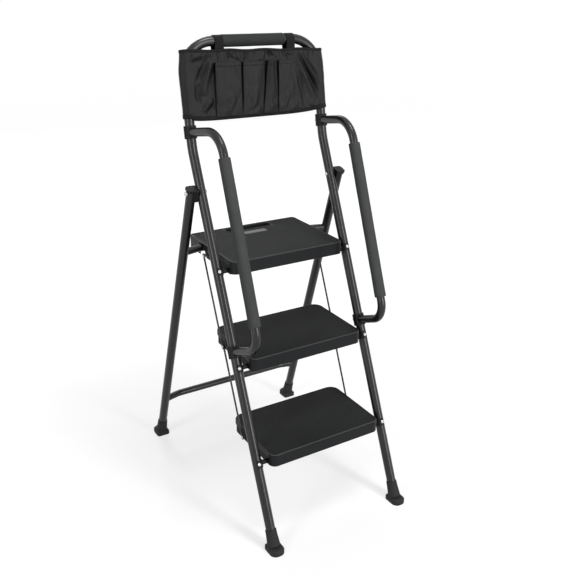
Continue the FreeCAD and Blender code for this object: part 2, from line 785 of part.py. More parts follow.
def rear_saddle():
    """A curved washer behind the upright with a flat pad for the bolt's head."""
    low = V(0, 0, -rear_saddle_height / 2)
    high = V(0, 0, rear_saddle_height / 2)
    rear_half = block(V(-tube_diameter, saddle_split, -rear_saddle_height),
                      V(tube_diameter, 2 * tube_diameter, rear_saddle_height))
    pad = bar(ORIGIN, V(0, rear_pad_face, 0), rear_pad_diameter)
    body = bar(low, high, 2 * rear_saddle_radius).fuse(pad).common(rear_half)
    body = body.cut(bar(low, high, tube_diameter + 2 * seat_gap))
    hole = bar(ORIGIN, V(0, 2 * rear_pad_face, 0), handrail_bolt_diameter + 2 * bolt_hole_gap)
    return body.cut(hole).removeSplitter()


def handrail_bolt():
    """A bolt with a tall domed head, from behind the upright into the handrail's end nut."""
    seat = V(0, rear_pad_face, 0)
    crown = V(0, rear_pad_face + handrail_bolt_collar, 0)
    shank = bar(V(0, -arm_seat - bolt_in_end_nut, 0), seat, handrail_bolt_diameter)
    collar = bar(seat, crown, handrail_bolt_head_diameter)
    head = dome(crown, V(0, 1, 0), handrail_bolt_head_diameter, handrail_bolt_head_height)
    return shank.fuse(collar).fuse(head).removeSplitter()


def end_nut():
    """A threaded plug inside the handrail's end."""
    start = V(0, -arm_seat, 0)
    end = V(0, -arm_seat - end_nut_length, 0)
    plug_diameter = handrail_diameter - 2 * handrail_wall - 2 * seat_gap
    return ring(start, end, plug_diameter, handrail_bolt_diameter)


def handrail_forward(lean):
    """The way a handrail's arm leaves an upright of some lean, square to it and toed in."""
    turn = math.radians(handrail_toe_in)
    tilt = math.radians(lean)
    return V(-math.sin(turn), -math.cos(turn) * math.cos(tilt), math.cos(turn) * math.sin(tilt))


upper_joint = upper_place(handrail_upper_joint_height)
lower_joint = upright_place(handrail_lower_joint_height)
upper_forward = handrail_forward(upper_lean)
lower_forward = handrail_forward(front_lean)
rail_start = upper_joint + upper_forward * arm_seat
rail_top = upper_joint + upper_forward * handrail_upper_reach
rail_low = lower_joint + lower_forward * handrail_lower_reach
rail_end = lower_joint + lower_forward * arm_seat


def handrail():
    """A tube that leaves the upright forwards, runs down beside it and returns to it."""
    return bent_tube([rail_start, rail_top, rail_low, rail_end], [handrail_upper_bend, handrail_lower_bend],
                     handrail_diameter, handrail_wall)


def handrail_grip():
    """A foam sleeve on the straight run of the handrail."""
    down = V(rail_low - rail_top).normalize()
    top_reach = corner_reach(rail_start, rail_top, rail_low, handrail_upper_bend)
    low_reach = corner_reach(rail_top, rail_low, rail_end, handrail_lower_bend)
    start = rail_top + down * (top_reach + handrail_grip_top_gap)
    end = rail_low - down * (low_reach + handrail_grip_low_gap)
    return ring(start, end, handrail_grip_diameter, handrail_diameter + 2 * seat_gap)


def top_bar_grip():
    """A foam sleeve on the middle of the top bar."""
    start = V(-top_grip_length / 2, top_bar_y, top_bar_height)
    end = V(top_grip_length / 2, top_bar_y, top_bar_height)
    return ring(start, end, top_grip_diameter, tube_diameter + 2 * seat_gap)


# Tool bag, built upright about the bend with Z along the uprights
def flat_loop(half_depth, low, high):
    """A solid with a round-ended plan that reaches past both uprights."""
    shape = block(V(-half_spacing, -half_depth, low), V(half_spacing, half_depth, high))
    for x in (-half_spacing, half_spacing):
        shape = shape.fuse(bar(V(x, 0, low), V(x, 0, high), 2 * half_depth))
    return shape.removeSplitter()


def on_upper_frame(shape):
    """A shape built about the bend, carried onto the upper part of the frame."""
    return leaned(shape, V(0, bend_y, bend_height), upper_lean)


def bag_sleeve():
    """The bag's cloth, front and back, as a sleeve round both uprights."""
    inside = flat_loop(bag_inside, bag_low, bag_high)
    return on_upper_frame(flat_loop(bag_outside, bag_low, bag_high).cut(inside))


def bag_pockets():
    """Open-topped pockets side by side on the front of the sleeve."""
    widths = [first_pocket_width, second_pocket_width, narrow_pocket_width, last_pocket_width]
    left = -(sum(widths) + pocket_gap * (len(widths) - 1)) / 2
    low = bag_low + pocket_low
    high = low + pocket_height
    front = -bag_outside - pocket_depth
    pockets = []
    for width in widths:
        right = left + width
        outside = block(V(left, front, low), V(right, -bag_outside, high))
        outside = rounded_ends(outside, pocket_height, ALONG_Y, [(front, pocket_corner)])
        inside = block(V(left + pocket_cloth, front + pocket_cloth, low + pocket_cloth),
                       V(right - pocket_cloth, 0, high + cut_margin))
        pockets.append(on_upper_frame(outside.cut(inside)))
        left = right + pocket_gap
    return pockets


def strap_outline(half_low, over_radius, tail):
    """A side-view face that goes up, over the top bar and down again."""
    shoulder = bag_high + strap_cloth
    points = [V(0, -half_low, tail), V(0, -half_low, shoulder), V(0, -over_radius, bar_up)]
    points += [V(0, over_radius, bar_up), V(0, half_low, shoulder), V(0, half_low, tail)]
    over = Part.Arc(points[2], V(0, 0, bar_up + over_radius), points[3]).toShape()
    up = [Part.LineSegment(points[index], points[index + 1]).toShape() for index in (0, 1)]
    down = [Part.LineSegment(points[index], points[index + 1]).toShape() for index in (3, 4)]
    close = Part.LineSegment(points[5], points[0]).toShape()
    return Part.Face(Part.Wire(up + [over] + down + [close]))


def bag_strap():
    """A webbing strap from the sleeve's front over the bar to its back, right-hand side."""
    tail = bag_high - strap_tail
    outer = strap_outline(bag_outside + strap_cloth, tube_radius + clear_gap + strap_cloth, tail)
    inner = strap_outline(bag_outside, tube_radius + clear_gap, tail)
    strap = outer.cut(inner).extrude(V(strap_width, 0, 0))
    strap.translate(V(strap_inner_x, 0, 0))
    return on_upper_frame(strap.Solids[0])


os.makedirs("parts", exist_ok=True)

# Front frame
save("front_frame_tube", front_frame_tube())
save_pair("front_foot", boot(V(half_spacing, front_y, 0), upright_up, -1))
save("top_bar_grip", top_bar_grip())
save_pair("handrail", handrail())
save_pair("handrail_grip", handrail_grip())
rear_saddles = []
bolts = []
end_nuts = []
for level, place, lean in (("upper", upper_joint, upper_lean), ("lower", lower_joint, front_lean)):
    save_pair("handrail_saddle_" + level, at_handrail_joint(front_saddle(), place, lean))
    rear_saddles += both_sides(at_handrail_joint(rear_saddle(), place, lean))
    bolts += both_sides(at_handrail_joint(handrail_bolt(), place, lean))
    end_nuts += both_sides(at_handrail_joint(end_nut(), place, lean))
save("handrail_rear_saddles", *rear_saddles)
save("handrail_bolts", *bolts)
save("handrail_end_nuts", *end_nuts)
save("hinge_bolts", *both_sides(hinge_bolt()))
save("hinge_washers", *both_sides(hinge_washer()))
save("hinge_nuts", *both_sides(hinge_nut()))
save("tool_bag_sleeve", bag_sleeve())
save("bag_pockets", *bag_pockets())
save_pair("bag_strap", bag_strap())

# Steps and their pivots
axles = []
rivets = []
retainers = []
lower_tread, lower_tray = screw_bosses(tread(lower_step_depth, lower_rear_corner, lower_step_depth),
                                       step_tray(lower_step_depth, lower_rear_corner), lower_screw_pitch)
top_tread, top_tray = top_step()
step_names = ["bottom", "middle", "top"]
pin_eyes = [(inner_link_x, inner_link_x), (inner_link_x, outer_link_x), (outer_link_x, outer_link_x)]
for name, height, eyes in zip(step_names, pivot_heights, pin_eyes):
    place = upright_place(height)
    middle = V(0, place.y, place.z)
    is_top = name == "top"
    save(name + "_tread", leaned(top_tread if is_top else lower_tread, middle, 0))
    save(name + "_step_tray", leaned(top_tray if is_top else lower_tray, middle, 0))
    save(name + "_step_bushes", *both_sides(leaned(step_bush(), middle, 0)))
    save(name + "_link_pins", *both_sides(leaned(link_pin(*eyes), middle, 0)))
    screws = [tread_screw(x, y) for x, y in screw_places(top_screw_pitch if is_top else lower_screw_pitch)]
    save(name + "_tread_screws", *[leaned(screw, middle, 0) for screw in screws])
    save(name + "_pivot_brackets", *both_sides(leaned(pivot_bracket(), place, front_lean)))
    axles += both_sides(leaned(axle(), place, front_lean))
    rivets += both_sides(leaned(axle_rivet(), place, front_lean))
    retainers += both_sides(leaned(axle_retainer(), place, front_lean))
save("step_axles", *axles)
save("axle_rivets", *rivets)
save("axle_retainers", *retainers)
top_middle = V(0, top_pivot_y, pivot_heights[-1])
save("crossbar_clips", *both_sides(leaned(crossbar_clip(), top_middle, 0)))
save("badge_plate", leaned(badge_plate(), top_middle, 0))

# Link rods between the steps: the upper end turns on its pin, the lower end is the open pivot
link_pins = [upright_place(height) + V(0, link_pin_back, link_pin_lift) for height in pivot_heights]
save_pair("upper_link", link_rod(link_pins[1], link_pins[2], outer_link_x, open_pivot_gap, running_gap))
save_pair("lower_link", link_rod(link_pins[0], link_pins[1], inner_link_x, open_pivot_gap, running_gap))

# Rear frame
save_pair("rear_leg", rear_leg())
save("rear_crossbar_upper", rear_crossbar(upper_crossbar_height))
save("rear_crossbar_lower", rear_crossbar(lower_crossbar_height))
save_pair("rear_foot", boot(leg_foot, leg_up, 1))
save_pair("leg_cap", leg_cap())
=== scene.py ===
"""Looks of a folding three-step ladder with handrails and a hanging tool bag, in metres.

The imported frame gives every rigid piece. This script finishes those pieces, adds the ribs of the treads,
makes the foam grips and the cloth bag, and sets a plain pale studio with the camera.
"""
import bmesh
import bpy
import json
import math
from mathutils import Matrix, Vector, noise


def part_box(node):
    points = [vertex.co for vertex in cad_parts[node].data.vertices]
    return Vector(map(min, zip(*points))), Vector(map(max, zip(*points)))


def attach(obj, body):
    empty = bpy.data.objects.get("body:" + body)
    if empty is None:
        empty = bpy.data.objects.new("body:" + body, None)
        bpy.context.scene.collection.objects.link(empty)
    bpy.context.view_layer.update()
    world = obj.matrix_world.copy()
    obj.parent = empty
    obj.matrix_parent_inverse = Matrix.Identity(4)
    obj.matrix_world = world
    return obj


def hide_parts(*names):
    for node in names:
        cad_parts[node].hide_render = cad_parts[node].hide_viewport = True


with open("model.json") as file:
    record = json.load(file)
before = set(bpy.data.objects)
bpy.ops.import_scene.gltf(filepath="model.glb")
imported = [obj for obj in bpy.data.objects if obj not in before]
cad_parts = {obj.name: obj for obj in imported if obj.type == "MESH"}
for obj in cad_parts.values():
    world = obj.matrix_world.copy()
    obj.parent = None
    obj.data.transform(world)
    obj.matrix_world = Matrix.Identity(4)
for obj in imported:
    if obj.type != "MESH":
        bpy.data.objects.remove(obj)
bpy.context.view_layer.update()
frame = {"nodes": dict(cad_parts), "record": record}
nodes = frame["nodes"]
STEPS = ("top", "middle", "bottom")
SIDES = ("left", "right")

# How near a spot counts as on an edge, and the angle past which an edge stays sharp
CLOSE = 0.00001
SHARP_ANGLE = math.radians(40)

# Tubes
TUBE_RADIUS = 0.0125
HANDRAIL_RADIUS = 0.011

# Treads; the roundings are shares of the height
FRONT_CORNER = 0.018
REAR_CORNERS = {"top": 0.012, "middle": 0.028, "bottom": 0.028}
SLOT_RIM_HEIGHT = 0.0012
SLOT_RIM_REACH = (0.077, 0.019)
SLOT_FROM_BADGE = 0.032
BADGE_GAP = 0.004
RIM_INSET = 0.006
RIM_WIDTH = 0.0022
RIM_HEIGHT = 0.0007
RIM_ROUNDING = 0.7
RIM_CORNER_STEPS = 8
RIB_MARGIN = 0.012
RIB_PITCH = 0.0052
RIB_WIDTH = 0.0022
RIB_HEIGHT = 0.0005
RIB_ROUNDING = 0.8
RIB_SINK = 0.0003

# Foam grips
BAR_GRIP_RADIUS = 0.0155
RAIL_GRIP_RADIUS = 0.015
FOAM_SIDES = 48
FOAM_CLEARANCE = 0.0003
FOAM_BORE_STEP = 0.01
FOAM_EDGE = 0.0016
FOAM_OUTER_RING = 0.99
FOAM_CUT_SPACING = 0.012
FOAM_UNEVEN = 0.0007
FOAM_SWELL_SIZE = 0.035

# Tool bag, beside the upper part of the uprights
BAG_LEAN = math.radians(10)
BAG_UP = Vector((0, math.sin(BAG_LEAN), math.cos(BAG_LEAN)))
BAG_FRONT = Vector((0, -math.cos(BAG_LEAN), math.sin(BAG_LEAN)))
HALF_SPACING = 0.198
BAG_HALF_DEPTH = 0.0142
BAG_CAD_HALF_DEPTH = 0.0155
BAG_BELLY = 0.0012
CLOTH_THICKNESS = 0.0011
CLOTH_STEP = 0.0023

# The bag's edges and sides; a start or fade is a share of its half height
LOW_EDGE_LIFT = 0.009
LOW_EDGE_POWERS = {"left": 10, "right": 4}
LOW_EDGE_FADE = -0.3
TOP_EDGE_TILT = 0.0035
TOP_EDGE_WAVE = 0.0012
TOP_EDGE_WAVES = 60
TOP_EDGE_START = 0.4
SIDE_STEPS = 10
SIDE_SAG = {"left": 0.007, "right": 0.002}
SIDE_SAG_START = 0.35
SIDE_FLATTENING = 0.35
SIDE_RIPPLE = 0.0008

# Slack cloth: folds, creases, unevenness and the gathers under the upper binding
SLACK_SHARE = 0.25
FOLD_STEPS = 14
FOLD_GAIN = 1.5
FOLD_REACH = 3
FOLD_TAPER = 0.6
BACK_FOLD_SHARE = 0.8
CREASE_HEIGHT = 0.0012
CREASE_LEVEL = 0.6
CREASE_GAIN = 2
CREASE_ACROSS = (40, 12)
CREASE_UP = (-9, 17)
CREASE_LAYERS = (1.7, 3.9)
BROAD_HEIGHT = 0.0020
NARROW_HEIGHT = 0.0008
GATHER_HEIGHT = 0.0009
GATHER_WAVES = 420
GATHER_SWAY = 3.6
GATHER_START = 0.034
GATHER_FULL = 0.012
GATHER_FADE = 0.007

# Noise over the cloth: scales across and up, first layer and step between layers
BROAD_NOISE = (22, 16, 0.0, 7.3)
NARROW_NOISE = (60, 38, 3.1, 5.7)
GATHER_NOISE = (30, 12, 8.0, 0.0)
SIDE_NOISE = (45, 1, 0.0, 4.0)
WRINKLE_NOISE = (45, 3, 0.0, 2.3)
FRONT_LAYER = 1
BACK_LAYER = 2
POCKET_LAYER = 4
POCKET_LAYER_STEP = 3

# Folds of the front cloth: start, middle and end on the bag's front, then height and half width
FOLDS = (((-0.127, 0.071), (-0.155, 0.037), (-0.171, 0.008), -0.0050, 0.0080),
         ((-0.171, 0.010), (-0.175, -0.018), (-0.170, -0.042), -0.0030, 0.0065),
         ((-0.126, 0.058), (-0.146, 0.026), (-0.158, -0.022), 0.0050, 0.0095),
         ((-0.126, 0.060), (-0.130, -0.010), (-0.132, -0.066), -0.0010, 0.0050),
         ((-0.165, -0.063), (-0.150, -0.045), (-0.134, -0.034), 0.0032, 0.0060),
         ((-0.156, -0.074), (-0.142, -0.056), (-0.131, -0.052), -0.0030, 0.0050),
         ((-0.197, 0.063), (-0.170, 0.068), (-0.138, 0.080), 0.0026, 0.0060),
         ((-0.195, 0.050), (-0.172, 0.057), (-0.145, 0.058), -0.0026, 0.0055),
         ((0.128, 0.070), (0.157, 0.015), (0.194, -0.057), -0.0055, 0.0058),
         ((0.143, 0.070), (0.168, 0.030), (0.198, -0.010), -0.0042, 0.0050),
         ((0.136, 0.072), (0.163, 0.024), (0.198, -0.034), 0.0042, 0.0055),
         ((0.119, 0.066), (0.142, 0.012), (0.174, -0.060), 0.0045, 0.0080),
         ((0.119, 0.026), (0.130, -0.017), (0.140, -0.072), -0.0030, 0.0060),
         ((0.150, -0.060), (0.172, -0.070), (0.196, -0.066), 0.0030, 0.0060),
         ((-0.080, 0.078), (-0.074, 0.064), (-0.054, 0.058), -0.0028, 0.0042),
         ((-0.040, 0.076), (-0.027, 0.068), (-0.040, 0.056), -0.0026, 0.0042),
         ((-0.058, 0.078), (-0.050, 0.070), (-0.054, 0.058), 0.0022, 0.0050),
         ((0.028, 0.078), (0.044, 0.070), (0.058, 0.058), -0.0032, 0.0042),
         ((0.010, 0.078), (0.018, 0.068), (0.010, 0.056), 0.0022, 0.0060),
         ((0.080, 0.078), (0.092, 0.068), (0.114, 0.064), -0.0024, 0.0045))

# Seams of the pockets: left and right at the mouth, then left and right at the foot
POCKETS = ((-0.1235, -0.0505, -0.1285, -0.0550), (-0.0455, 0.0150, -0.0515, 0.0015),
           (0.0275, 0.0470, 0.0080, 0.0505), (0.0600, 0.1120, 0.0535, 0.1160))

# Pockets; rows, hem and wrinkles are placed by shares of the pocket's height
POCKET_FOOT_RISE = 0.006
POCKET_MOUTH_RISE = 0.139
POCKET_MOUTH = 0.0105
POCKET_FOOT = 0.0016
POCKET_OPENING = 0.8
POCKET_TUCK = 0.004
POCKET_SIDE_SHARE = 0.12
POCKET_SWELL = 0.0028
POCKET_SWELL_RUN = (0.25, 0.6)
POCKET_STRETCH = 1.3
POCKET_FOLLOW = 0.5
POCKET_DROOP = 0.0022
POCKET_DROOP_POWER = 6
POCKET_THICKNESS = 0.0009
POCKET_COLUMN = 0.0028
POCKET_SIDE_COLUMNS = 10
POCKET_ROW = 0.024
PLEATED_POCKET = 2
PLEAT_DEPTH = 0.004
HEM_ROWS = (0.925, 0.95, 0.975, 1.004)
HEM_PROUD = 0.0009
WRINKLE_HEIGHT = 0.0016
WRINKLE_WAVES = (150, -14)
WRINKLE_SHIFT = 2
WRINKLE_SWAY = 4
WRINKLE_RISE = 0.12
WRINKLE_FADE = (0.25, 0.6)

# Bindings, straps and stitches
TOP_BINDING = 0.006
LOW_BINDING = 0.011
BINDING_THICKNESS = 0.0008
BINDING_GAP = 0.0005
BINDING_BULGE = 0.0004
BINDING_TURN = 0.0009
STRAP_WIDTH = 0.0245
STRAP_SHIFT = 0.0035
STRAP_THICKNESS = 0.0017
STRAP_GAP = 0.0004
STRAP_TUCK = 0.016
STRAP_EXIT = 0.002
STRAP_TURN_STEPS = 16
STRAP_ROW = 0.0011
STRAP_COLUMNS = 8
STRAP_RIB = 0.00022
STRAP_EDGE_DROP = 0.0003
STRAP_EDGE_POWER = 6
STITCH_SIZE = (0.0026, 0.0007, 0.0006)
STITCH_PITCH = 0.004
STITCH_PROUD = 0.0014
TOP_SEAM_SHARE = 0.75
LOW_SEAM_SHARE = 0.8
HEM_SEAM = 0.938
HEM_STITCH_PITCH = 0.0042
HEM_STITCH_SHARE = 0.6
HEM_STITCH_PROUD = 0.0016

# Surfaces: how far up a face has to look, how far up a rounded edge looks to get its painted highlight, the
# tread's sides, and the strength of pits and scuffs
FLAT_TOP = 0.97
HIGHLIGHT_EDGE_TURN = 0.2
SIDE_ROUGH = (0.25, 0.32)
SIDE_GRAIN = 0.25
TOP_ROUGHER = 0.29
PIT_SHARE = 0.5
SCUFF_LEVEL = 0.56
SCUFF_TOP = 0.2
SCUFF_GAIN = 6.0
SCUFF_PATCH = 0.35

# Studio, with a floor whose own glow makes up for the lamps' fall-off
FLOOR_SIZE = 400
FLOOR_LIT = (0.42, 0.42, 0.42, 1)
FLOOR_PLAIN = (0.5, 0.5, 0.5, 1)
WHITE = (1, 1, 1, 1)
LAMP_REACH = 2.3
LAMP_GLOW = 0.31
FAR_GLOW = 0.958
WORLD_LIGHT = 0.12
LAMP_TARGET = Vector((0.0, 0.0, 0.65))

# Lamps: name, place, width, height and watts
LAMPS = (("left_box", (-3.84, -1.28, 2.01), 0.64, 3.2, 71.0),
         ("right_box", (1.28, -4.0, 1.85), 0.8, 2.9, 118.0),
         ("overhead_box", (0.45, -0.55, 3.2), 0.8, 0.8, 31.0),
         ("rear_box", (0.48, 3.36, 3.13), 1.6, 1.28, 55.0))

# Camera at the photograph's place, turn and field of view
CAMERA_PLACE = (-0.9854, -1.6225, 1.3676)
CAMERA_YAW = math.radians(32.15)
CAMERA_PITCH = math.radians(-22.76)
CAMERA_ROLL = math.radians(1.06)
SENSOR_WIDTH = 36.0
FRAME_PIXELS = 576
FOCAL_PIXELS = 748.83
CENTRE_PIXEL = (288.9, 288.64)

# Places taken from the frame
bag_low, bag_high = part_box("tool_bag_sleeve")
bag_centre = (bag_low + bag_high) / 2
bag_rise = bag_high.z - bag_low.z - 2 * BAG_CAD_HALF_DEPTH * math.sin(BAG_LEAN)
BAG_HALF_HEIGHT = bag_rise / math.cos(BAG_LEAN) / 2
POCKET_LOW = -BAG_HALF_HEIGHT + POCKET_FOOT_RISE
POCKET_HIGH = -BAG_HALF_HEIGHT + POCKET_MOUTH_RISE
bar_low, bar_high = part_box("top_bar_grip")
BAR_UP = ((bar_low + bar_high) / 2 - bag_centre).dot(BAG_UP)


# Shader helpers
def place(tree, kind, **values):
    """Add a node, with its socket values given by name."""
    node = tree.nodes.new(kind)
    for name, value in values.items():
        node.inputs[name.replace("_", " ")].default_value = value
    return node


def math_node(tree, operation, *values):
    """A Math node whose inputs are sockets or numbers."""
    node = tree.nodes.new("ShaderNodeMath")
    node.operation = operation
    for socket, value in zip(node.inputs, values):
        if isinstance(value, (int, float)):
            socket.default_value = value
        else:
            tree.links.new(value, socket)
    return node.outputs[0]


def new_group(name, values, outputs):
    """An empty shader group with a vector input, named value inputs and named value outputs."""
    tree = bpy.data.node_groups.new(name, "ShaderNodeTree")
    tree.interface.new_socket("Vector", in_out="INPUT", socket_type="NodeSocketVector")
    for label, value in values.items():
        socket = tree.interface.new_socket(label, in_out="INPUT", socket_type="NodeSocketFloat")
        socket.default_value = value
    for label in outputs:
        tree.interface.new_socket(label, in_out="OUTPUT", socket_type="NodeSocketFloat")
    return tree, tree.nodes.new("NodeGroupInput"), tree.nodes.new("NodeGroupOutput")


def fine_grain_group():
    """Small pits and grain for moulded, coated and foamed surfaces."""
    tree, given, out = new_group("fine grain", {"Grain": 800.0, "Cloud": 12.0}, ("Height", "Tone"))
    grain = place(tree, "ShaderNodeTexNoise", Detail=3.0, Roughness=0.6)
    cells = place(tree, "ShaderNodeTexVoronoi")
    cloud = place(tree, "ShaderNodeTexNoise", Detail=4.0, Roughness=0.55)
    for texture, scale in ((grain, "Grain"), (cells, "Grain"), (cloud, "Cloud")):
        tree.links.new(given.outputs["Vector"], texture.inputs["Vector"])
        tree.links.new(given.outputs[scale], texture.inputs["Scale"])
    pits = math_node(tree, "MULTIPLY", cells.outputs["Distance"], PIT_SHARE)
    tree.links.new(math_node(tree, "ADD", grain.outputs["Fac"], pits), out.inputs["Height"])
    tree.links.new(cloud.outputs["Fac"], out.inputs["Tone"])
    return tree


def scuff_group():
    """Thin rubbed streaks in soft patches, where hands and shoes wear a surface."""
    tree, given, out = new_group("scuffs", {"Size": 20.0, "Amount": 0.3}, ("Mask",))
    stretch = place(tree, "ShaderNodeMapping", Scale=(1.0, 5.0, 5.0), Rotation=(0.3, 0.2, 0.5))
    streak = place(tree, "ShaderNodeTexNoise", Detail=6.0, Roughness=0.7)
    patch = place(tree, "ShaderNodeTexNoise", Detail=2.0, Roughness=0.5)
    patch_size = math_node(tree, "MULTIPLY", given.outputs["Size"], SCUFF_PATCH)
    tree.links.new(given.outputs["Vector"], stretch.inputs["Vector"])
    tree.links.new(stretch.outputs["Vector"], streak.inputs["Vector"])
    tree.links.new(given.outputs["Size"], streak.inputs["Scale"])
    tree.links.new(given.outputs["Vector"], patch.inputs["Vector"])
    tree.links.new(patch_size, patch.inputs["Scale"])
    above = math_node(tree, "SUBTRACT", streak.outputs["Fac"], SCUFF_LEVEL)
    sharp = math_node(tree, "SMOOTH_MIN", above, SCUFF_TOP)
    worn = math_node(tree, "MAXIMUM", math_node(tree, "MULTIPLY", sharp, SCUFF_GAIN), 0.0)
    where = math_node(tree, "MULTIPLY", worn, patch.outputs["Fac"])
    mask = math_node(tree, "MULTIPLY", where, given.outputs["Amount"])
    tree.links.new(math_node(tree, "MINIMUM", mask, 1.0), out.inputs["Mask"])
    return tree


def weave_group():
    """Over and under threads of a plain weave, on a map measured in metres."""
    tree, given, out = new_group("plain weave", {"Across": 1500.0, "Along": 1500.0}, ("Height",))
    parts = tree.nodes.new("ShaderNodeSeparateXYZ")
    tree.links.new(given.outputs["Vector"], parts.inputs[0])
    across = math_node(tree, "MULTIPLY", parts.outputs["X"], given.outputs["Across"])
    along = math_node(tree, "MULTIPLY", parts.outputs["Y"], given.outputs["Along"])
    over = math_node(tree, "MULTIPLY", math_node(tree, "SINE", across), math_node(tree, "SINE", along))
    tree.links.new(math_node(tree, "ABSOLUTE", over), out.inputs["Height"])
    return tree


GRAIN = fine_grain_group()
SCUFFS = scuff_group()
WEAVE = weave_group()


def use_group(tree, group, vector, **values):
    """Put a shared group into a material with its own values."""
    node = tree.nodes.new("ShaderNodeGroup")
    node.node_tree = group
    for name, value in values.items():
        node.inputs[name].default_value = value
    tree.links.new(vector, node.inputs["Vector"])
    return node


def mix_colours(tree, factor, first, second):
    """A colour between two, each a socket or a colour; a Mix node has colours at inputs 6 and 7, output 2."""
    node = tree.nodes.new("ShaderNodeMix")
    node.data_type = "RGBA"
    tree.links.new(factor, node.inputs["Factor"])
    for socket, value in ((node.inputs[6], first), (node.inputs[7], second)):
        if isinstance(value, tuple):
            socket.default_value = (*value, 1.0)
        else:
            tree.links.new(value, socket)
    return node.outputs[2]


def spread_over(tree, value, low, high):
    """A value from 0 to 1 carried to a range."""
    node = place(tree, "ShaderNodeMapRange", To_Min=low, To_Max=high)
    tree.links.new(value, node.inputs["Value"])
    return node.outputs["Result"]


def bump(tree, height, depth):
    """A normal raised by a height, with its depth in metres."""
    node = place(tree, "ShaderNodeBump", Strength=1.0, Distance=depth)
    tree.links.new(height, node.inputs["Height"])
    return node.outputs["Normal"]


class Finish:
    """A material with a grained, slightly uneven and lightly worn surface."""

    def __init__(self, name, dark, light, rough, gloss, grain, depth, worn, wear=0.25, cloud=12.0):
        self.material = bpy.data.materials.new(name)
        self.material.use_nodes = True
        self.tree = self.material.node_tree
        self.shader = self.tree.nodes["Principled BSDF"]
        self.shader.inputs["Specular IOR Level"].default_value = gloss
        self.where = self.tree.nodes.new("ShaderNodeTexCoord").outputs["Object"]
        self.grain = use_group(self.tree, GRAIN, self.where, Grain=grain, Cloud=cloud)
        self.scuffs = use_group(self.tree, SCUFFS, self.where, Amount=wear)
        self.tone = self.grain.outputs["Tone"]
        self.rubbed(mix_colours(self.tree, self.tone, dark, light), worn)
        self.rough = spread_over(self.tree, self.tone, *rough)
        self.height = self.grain.outputs["Height"]
        self.depth = depth

    def rubbed(self, colour, worn):
        """Take a colour for the surface, with the worn one where it is scuffed."""
        self.colour = mix_colours(self.tree, self.scuffs.outputs["Mask"], colour, worn)

    def done(self):
        """Wire the colour, roughness and bump to the shader."""
        links = self.tree.links
        links.new(self.colour, self.shader.inputs["Base Color"])
        links.new(self.rough, self.shader.inputs["Roughness"])
        links.new(bump(self.tree, self.height, self.depth), self.shader.inputs["Normal"])
        return self.material


def grey(value, green=1.0, blue=1.0):
    """A grey, or one that leans a little to green or blue."""
    return (value, value * green, value * blue)


# Finishes
def powder_coat():
    """Satin black powder coat with a faint orange peel."""
    finish = Finish("satin powder coat", grey(0.005), grey(0.008), rough=(0.27, 0.35), gloss=0.40,
                    grain=260.0, depth=0.000006, worn=grey(0.015), wear=0.06)
    return finish.done()


def painted_shade_tray_coat():
    """Duller coat on the folded sheet under the treads, its colour a little darker than the frame's as
    painted shade.
    """
    # Painted shade: the colour is a little darker than the frame's coat, for the shade under the treads.
    finish = Finish("tray coat with painted shade", grey(0.004), grey(0.007), rough=(0.5, 0.6), gloss=0.10,
                    grain=260.0, depth=0.00001, worn=grey(0.015), wear=0.06)
    return finish.done()


def tread_top(name):
    """Grained matt charcoal plastic, not yet wired."""
    return Finish(name, grey(0.014, 1.06, 1.03), grey(0.024, 1.06, 1.03), rough=(0.52, 0.62), gloss=0.07,
                  grain=1400.0, depth=0.00012, worn=grey(0.04), wear=0.35, cloud=9.0)


def tread_plastic():
    """The same plastic, smoother on the lip and sides, with a painted highlight: the rounded edges are
    coloured much paler, as if they caught the light.
    """
    finish = tread_top("charcoal tread")
    tree = finish.tree
    facing = tree.nodes.new("ShaderNodeSeparateXYZ")
    tree.links.new(tree.nodes.new("ShaderNodeNewGeometry").outputs["Normal"], facing.inputs[0])
    flat = math_node(tree, "GREATER_THAN", facing.outputs["Z"], FLAT_TOP)
    rounded = math_node(tree, "GREATER_THAN", facing.outputs["Z"], HIGHLIGHT_EDGE_TURN)
    sides = mix_colours(tree, finish.tone, grey(0.017, 1.06, 1.10), grey(0.022, 1.06, 1.10))
    # Painted highlight: the rounded edges between top and sides get a colour several times paler than the
    # top, standing in for glints on the fillets.
    edges = mix_colours(tree, finish.tone, grey(0.045), grey(0.080))
    finish.colour = mix_colours(tree, flat, mix_colours(tree, rounded, sides, edges), finish.colour)
    top_share = math_node(tree, "MULTIPLY", flat, TOP_ROUGHER)
    finish.rough = math_node(tree, "ADD", spread_over(tree, finish.tone, *SIDE_ROUGH), top_share)
    finish.height = math_node(tree, "MULTIPLY", finish.height, spread_over(tree, flat, SIDE_GRAIN, 1.0))
    return finish.done()


def joint_plastic():
    """Black moulded plastic of the saddles, brackets, bushes and caps."""
    finish = Finish("black moulding", grey(0.006), grey(0.010), rough=(0.42, 0.55), gloss=0.16,
                    grain=1100.0, depth=0.00006, worn=grey(0.03))
    return finish.done()


def foot_rubber():
    """Matt black rubber with a light grain."""
    finish = Finish("boot rubber", grey(0.019), grey(0.028), rough=(0.60, 0.78), gloss=0.2,
                    grain=900.0, depth=0.0001, worn=grey(0.05))
    return finish.done()


def grip_foam(name, dark, light):
    """Dark grey closed-cell foam with fine pores."""
    finish = Finish(name, grey(dark, 1.03, 1.03), grey(light, 1.03, 1.03), rough=(0.80, 0.95), gloss=0.06,
                    grain=620.0, depth=0.00035, worn=grey(0.08), wear=0.2, cloud=30.0)
    return finish.done()


def cloth(name, dark, light, rough, gloss, threads, depth):
    """Woven cloth whose threads follow the piece's own map."""
    worn = grey(0.03)
    finish = Finish(name, dark, light, rough, gloss,
                    grain=500.0, depth=depth, worn=worn, wear=0.1, cloud=25.0)
    map_node = finish.tree.nodes.new("ShaderNodeUVMap")
    weave = use_group(finish.tree, WEAVE, map_node.outputs["UV"], Across=threads[0], Along=threads[1])
    finish.rubbed(mix_colours(finish.tree, weave.outputs["Height"], dark, light), worn)
    finish.height = weave.outputs["Height"]
    return finish.done()


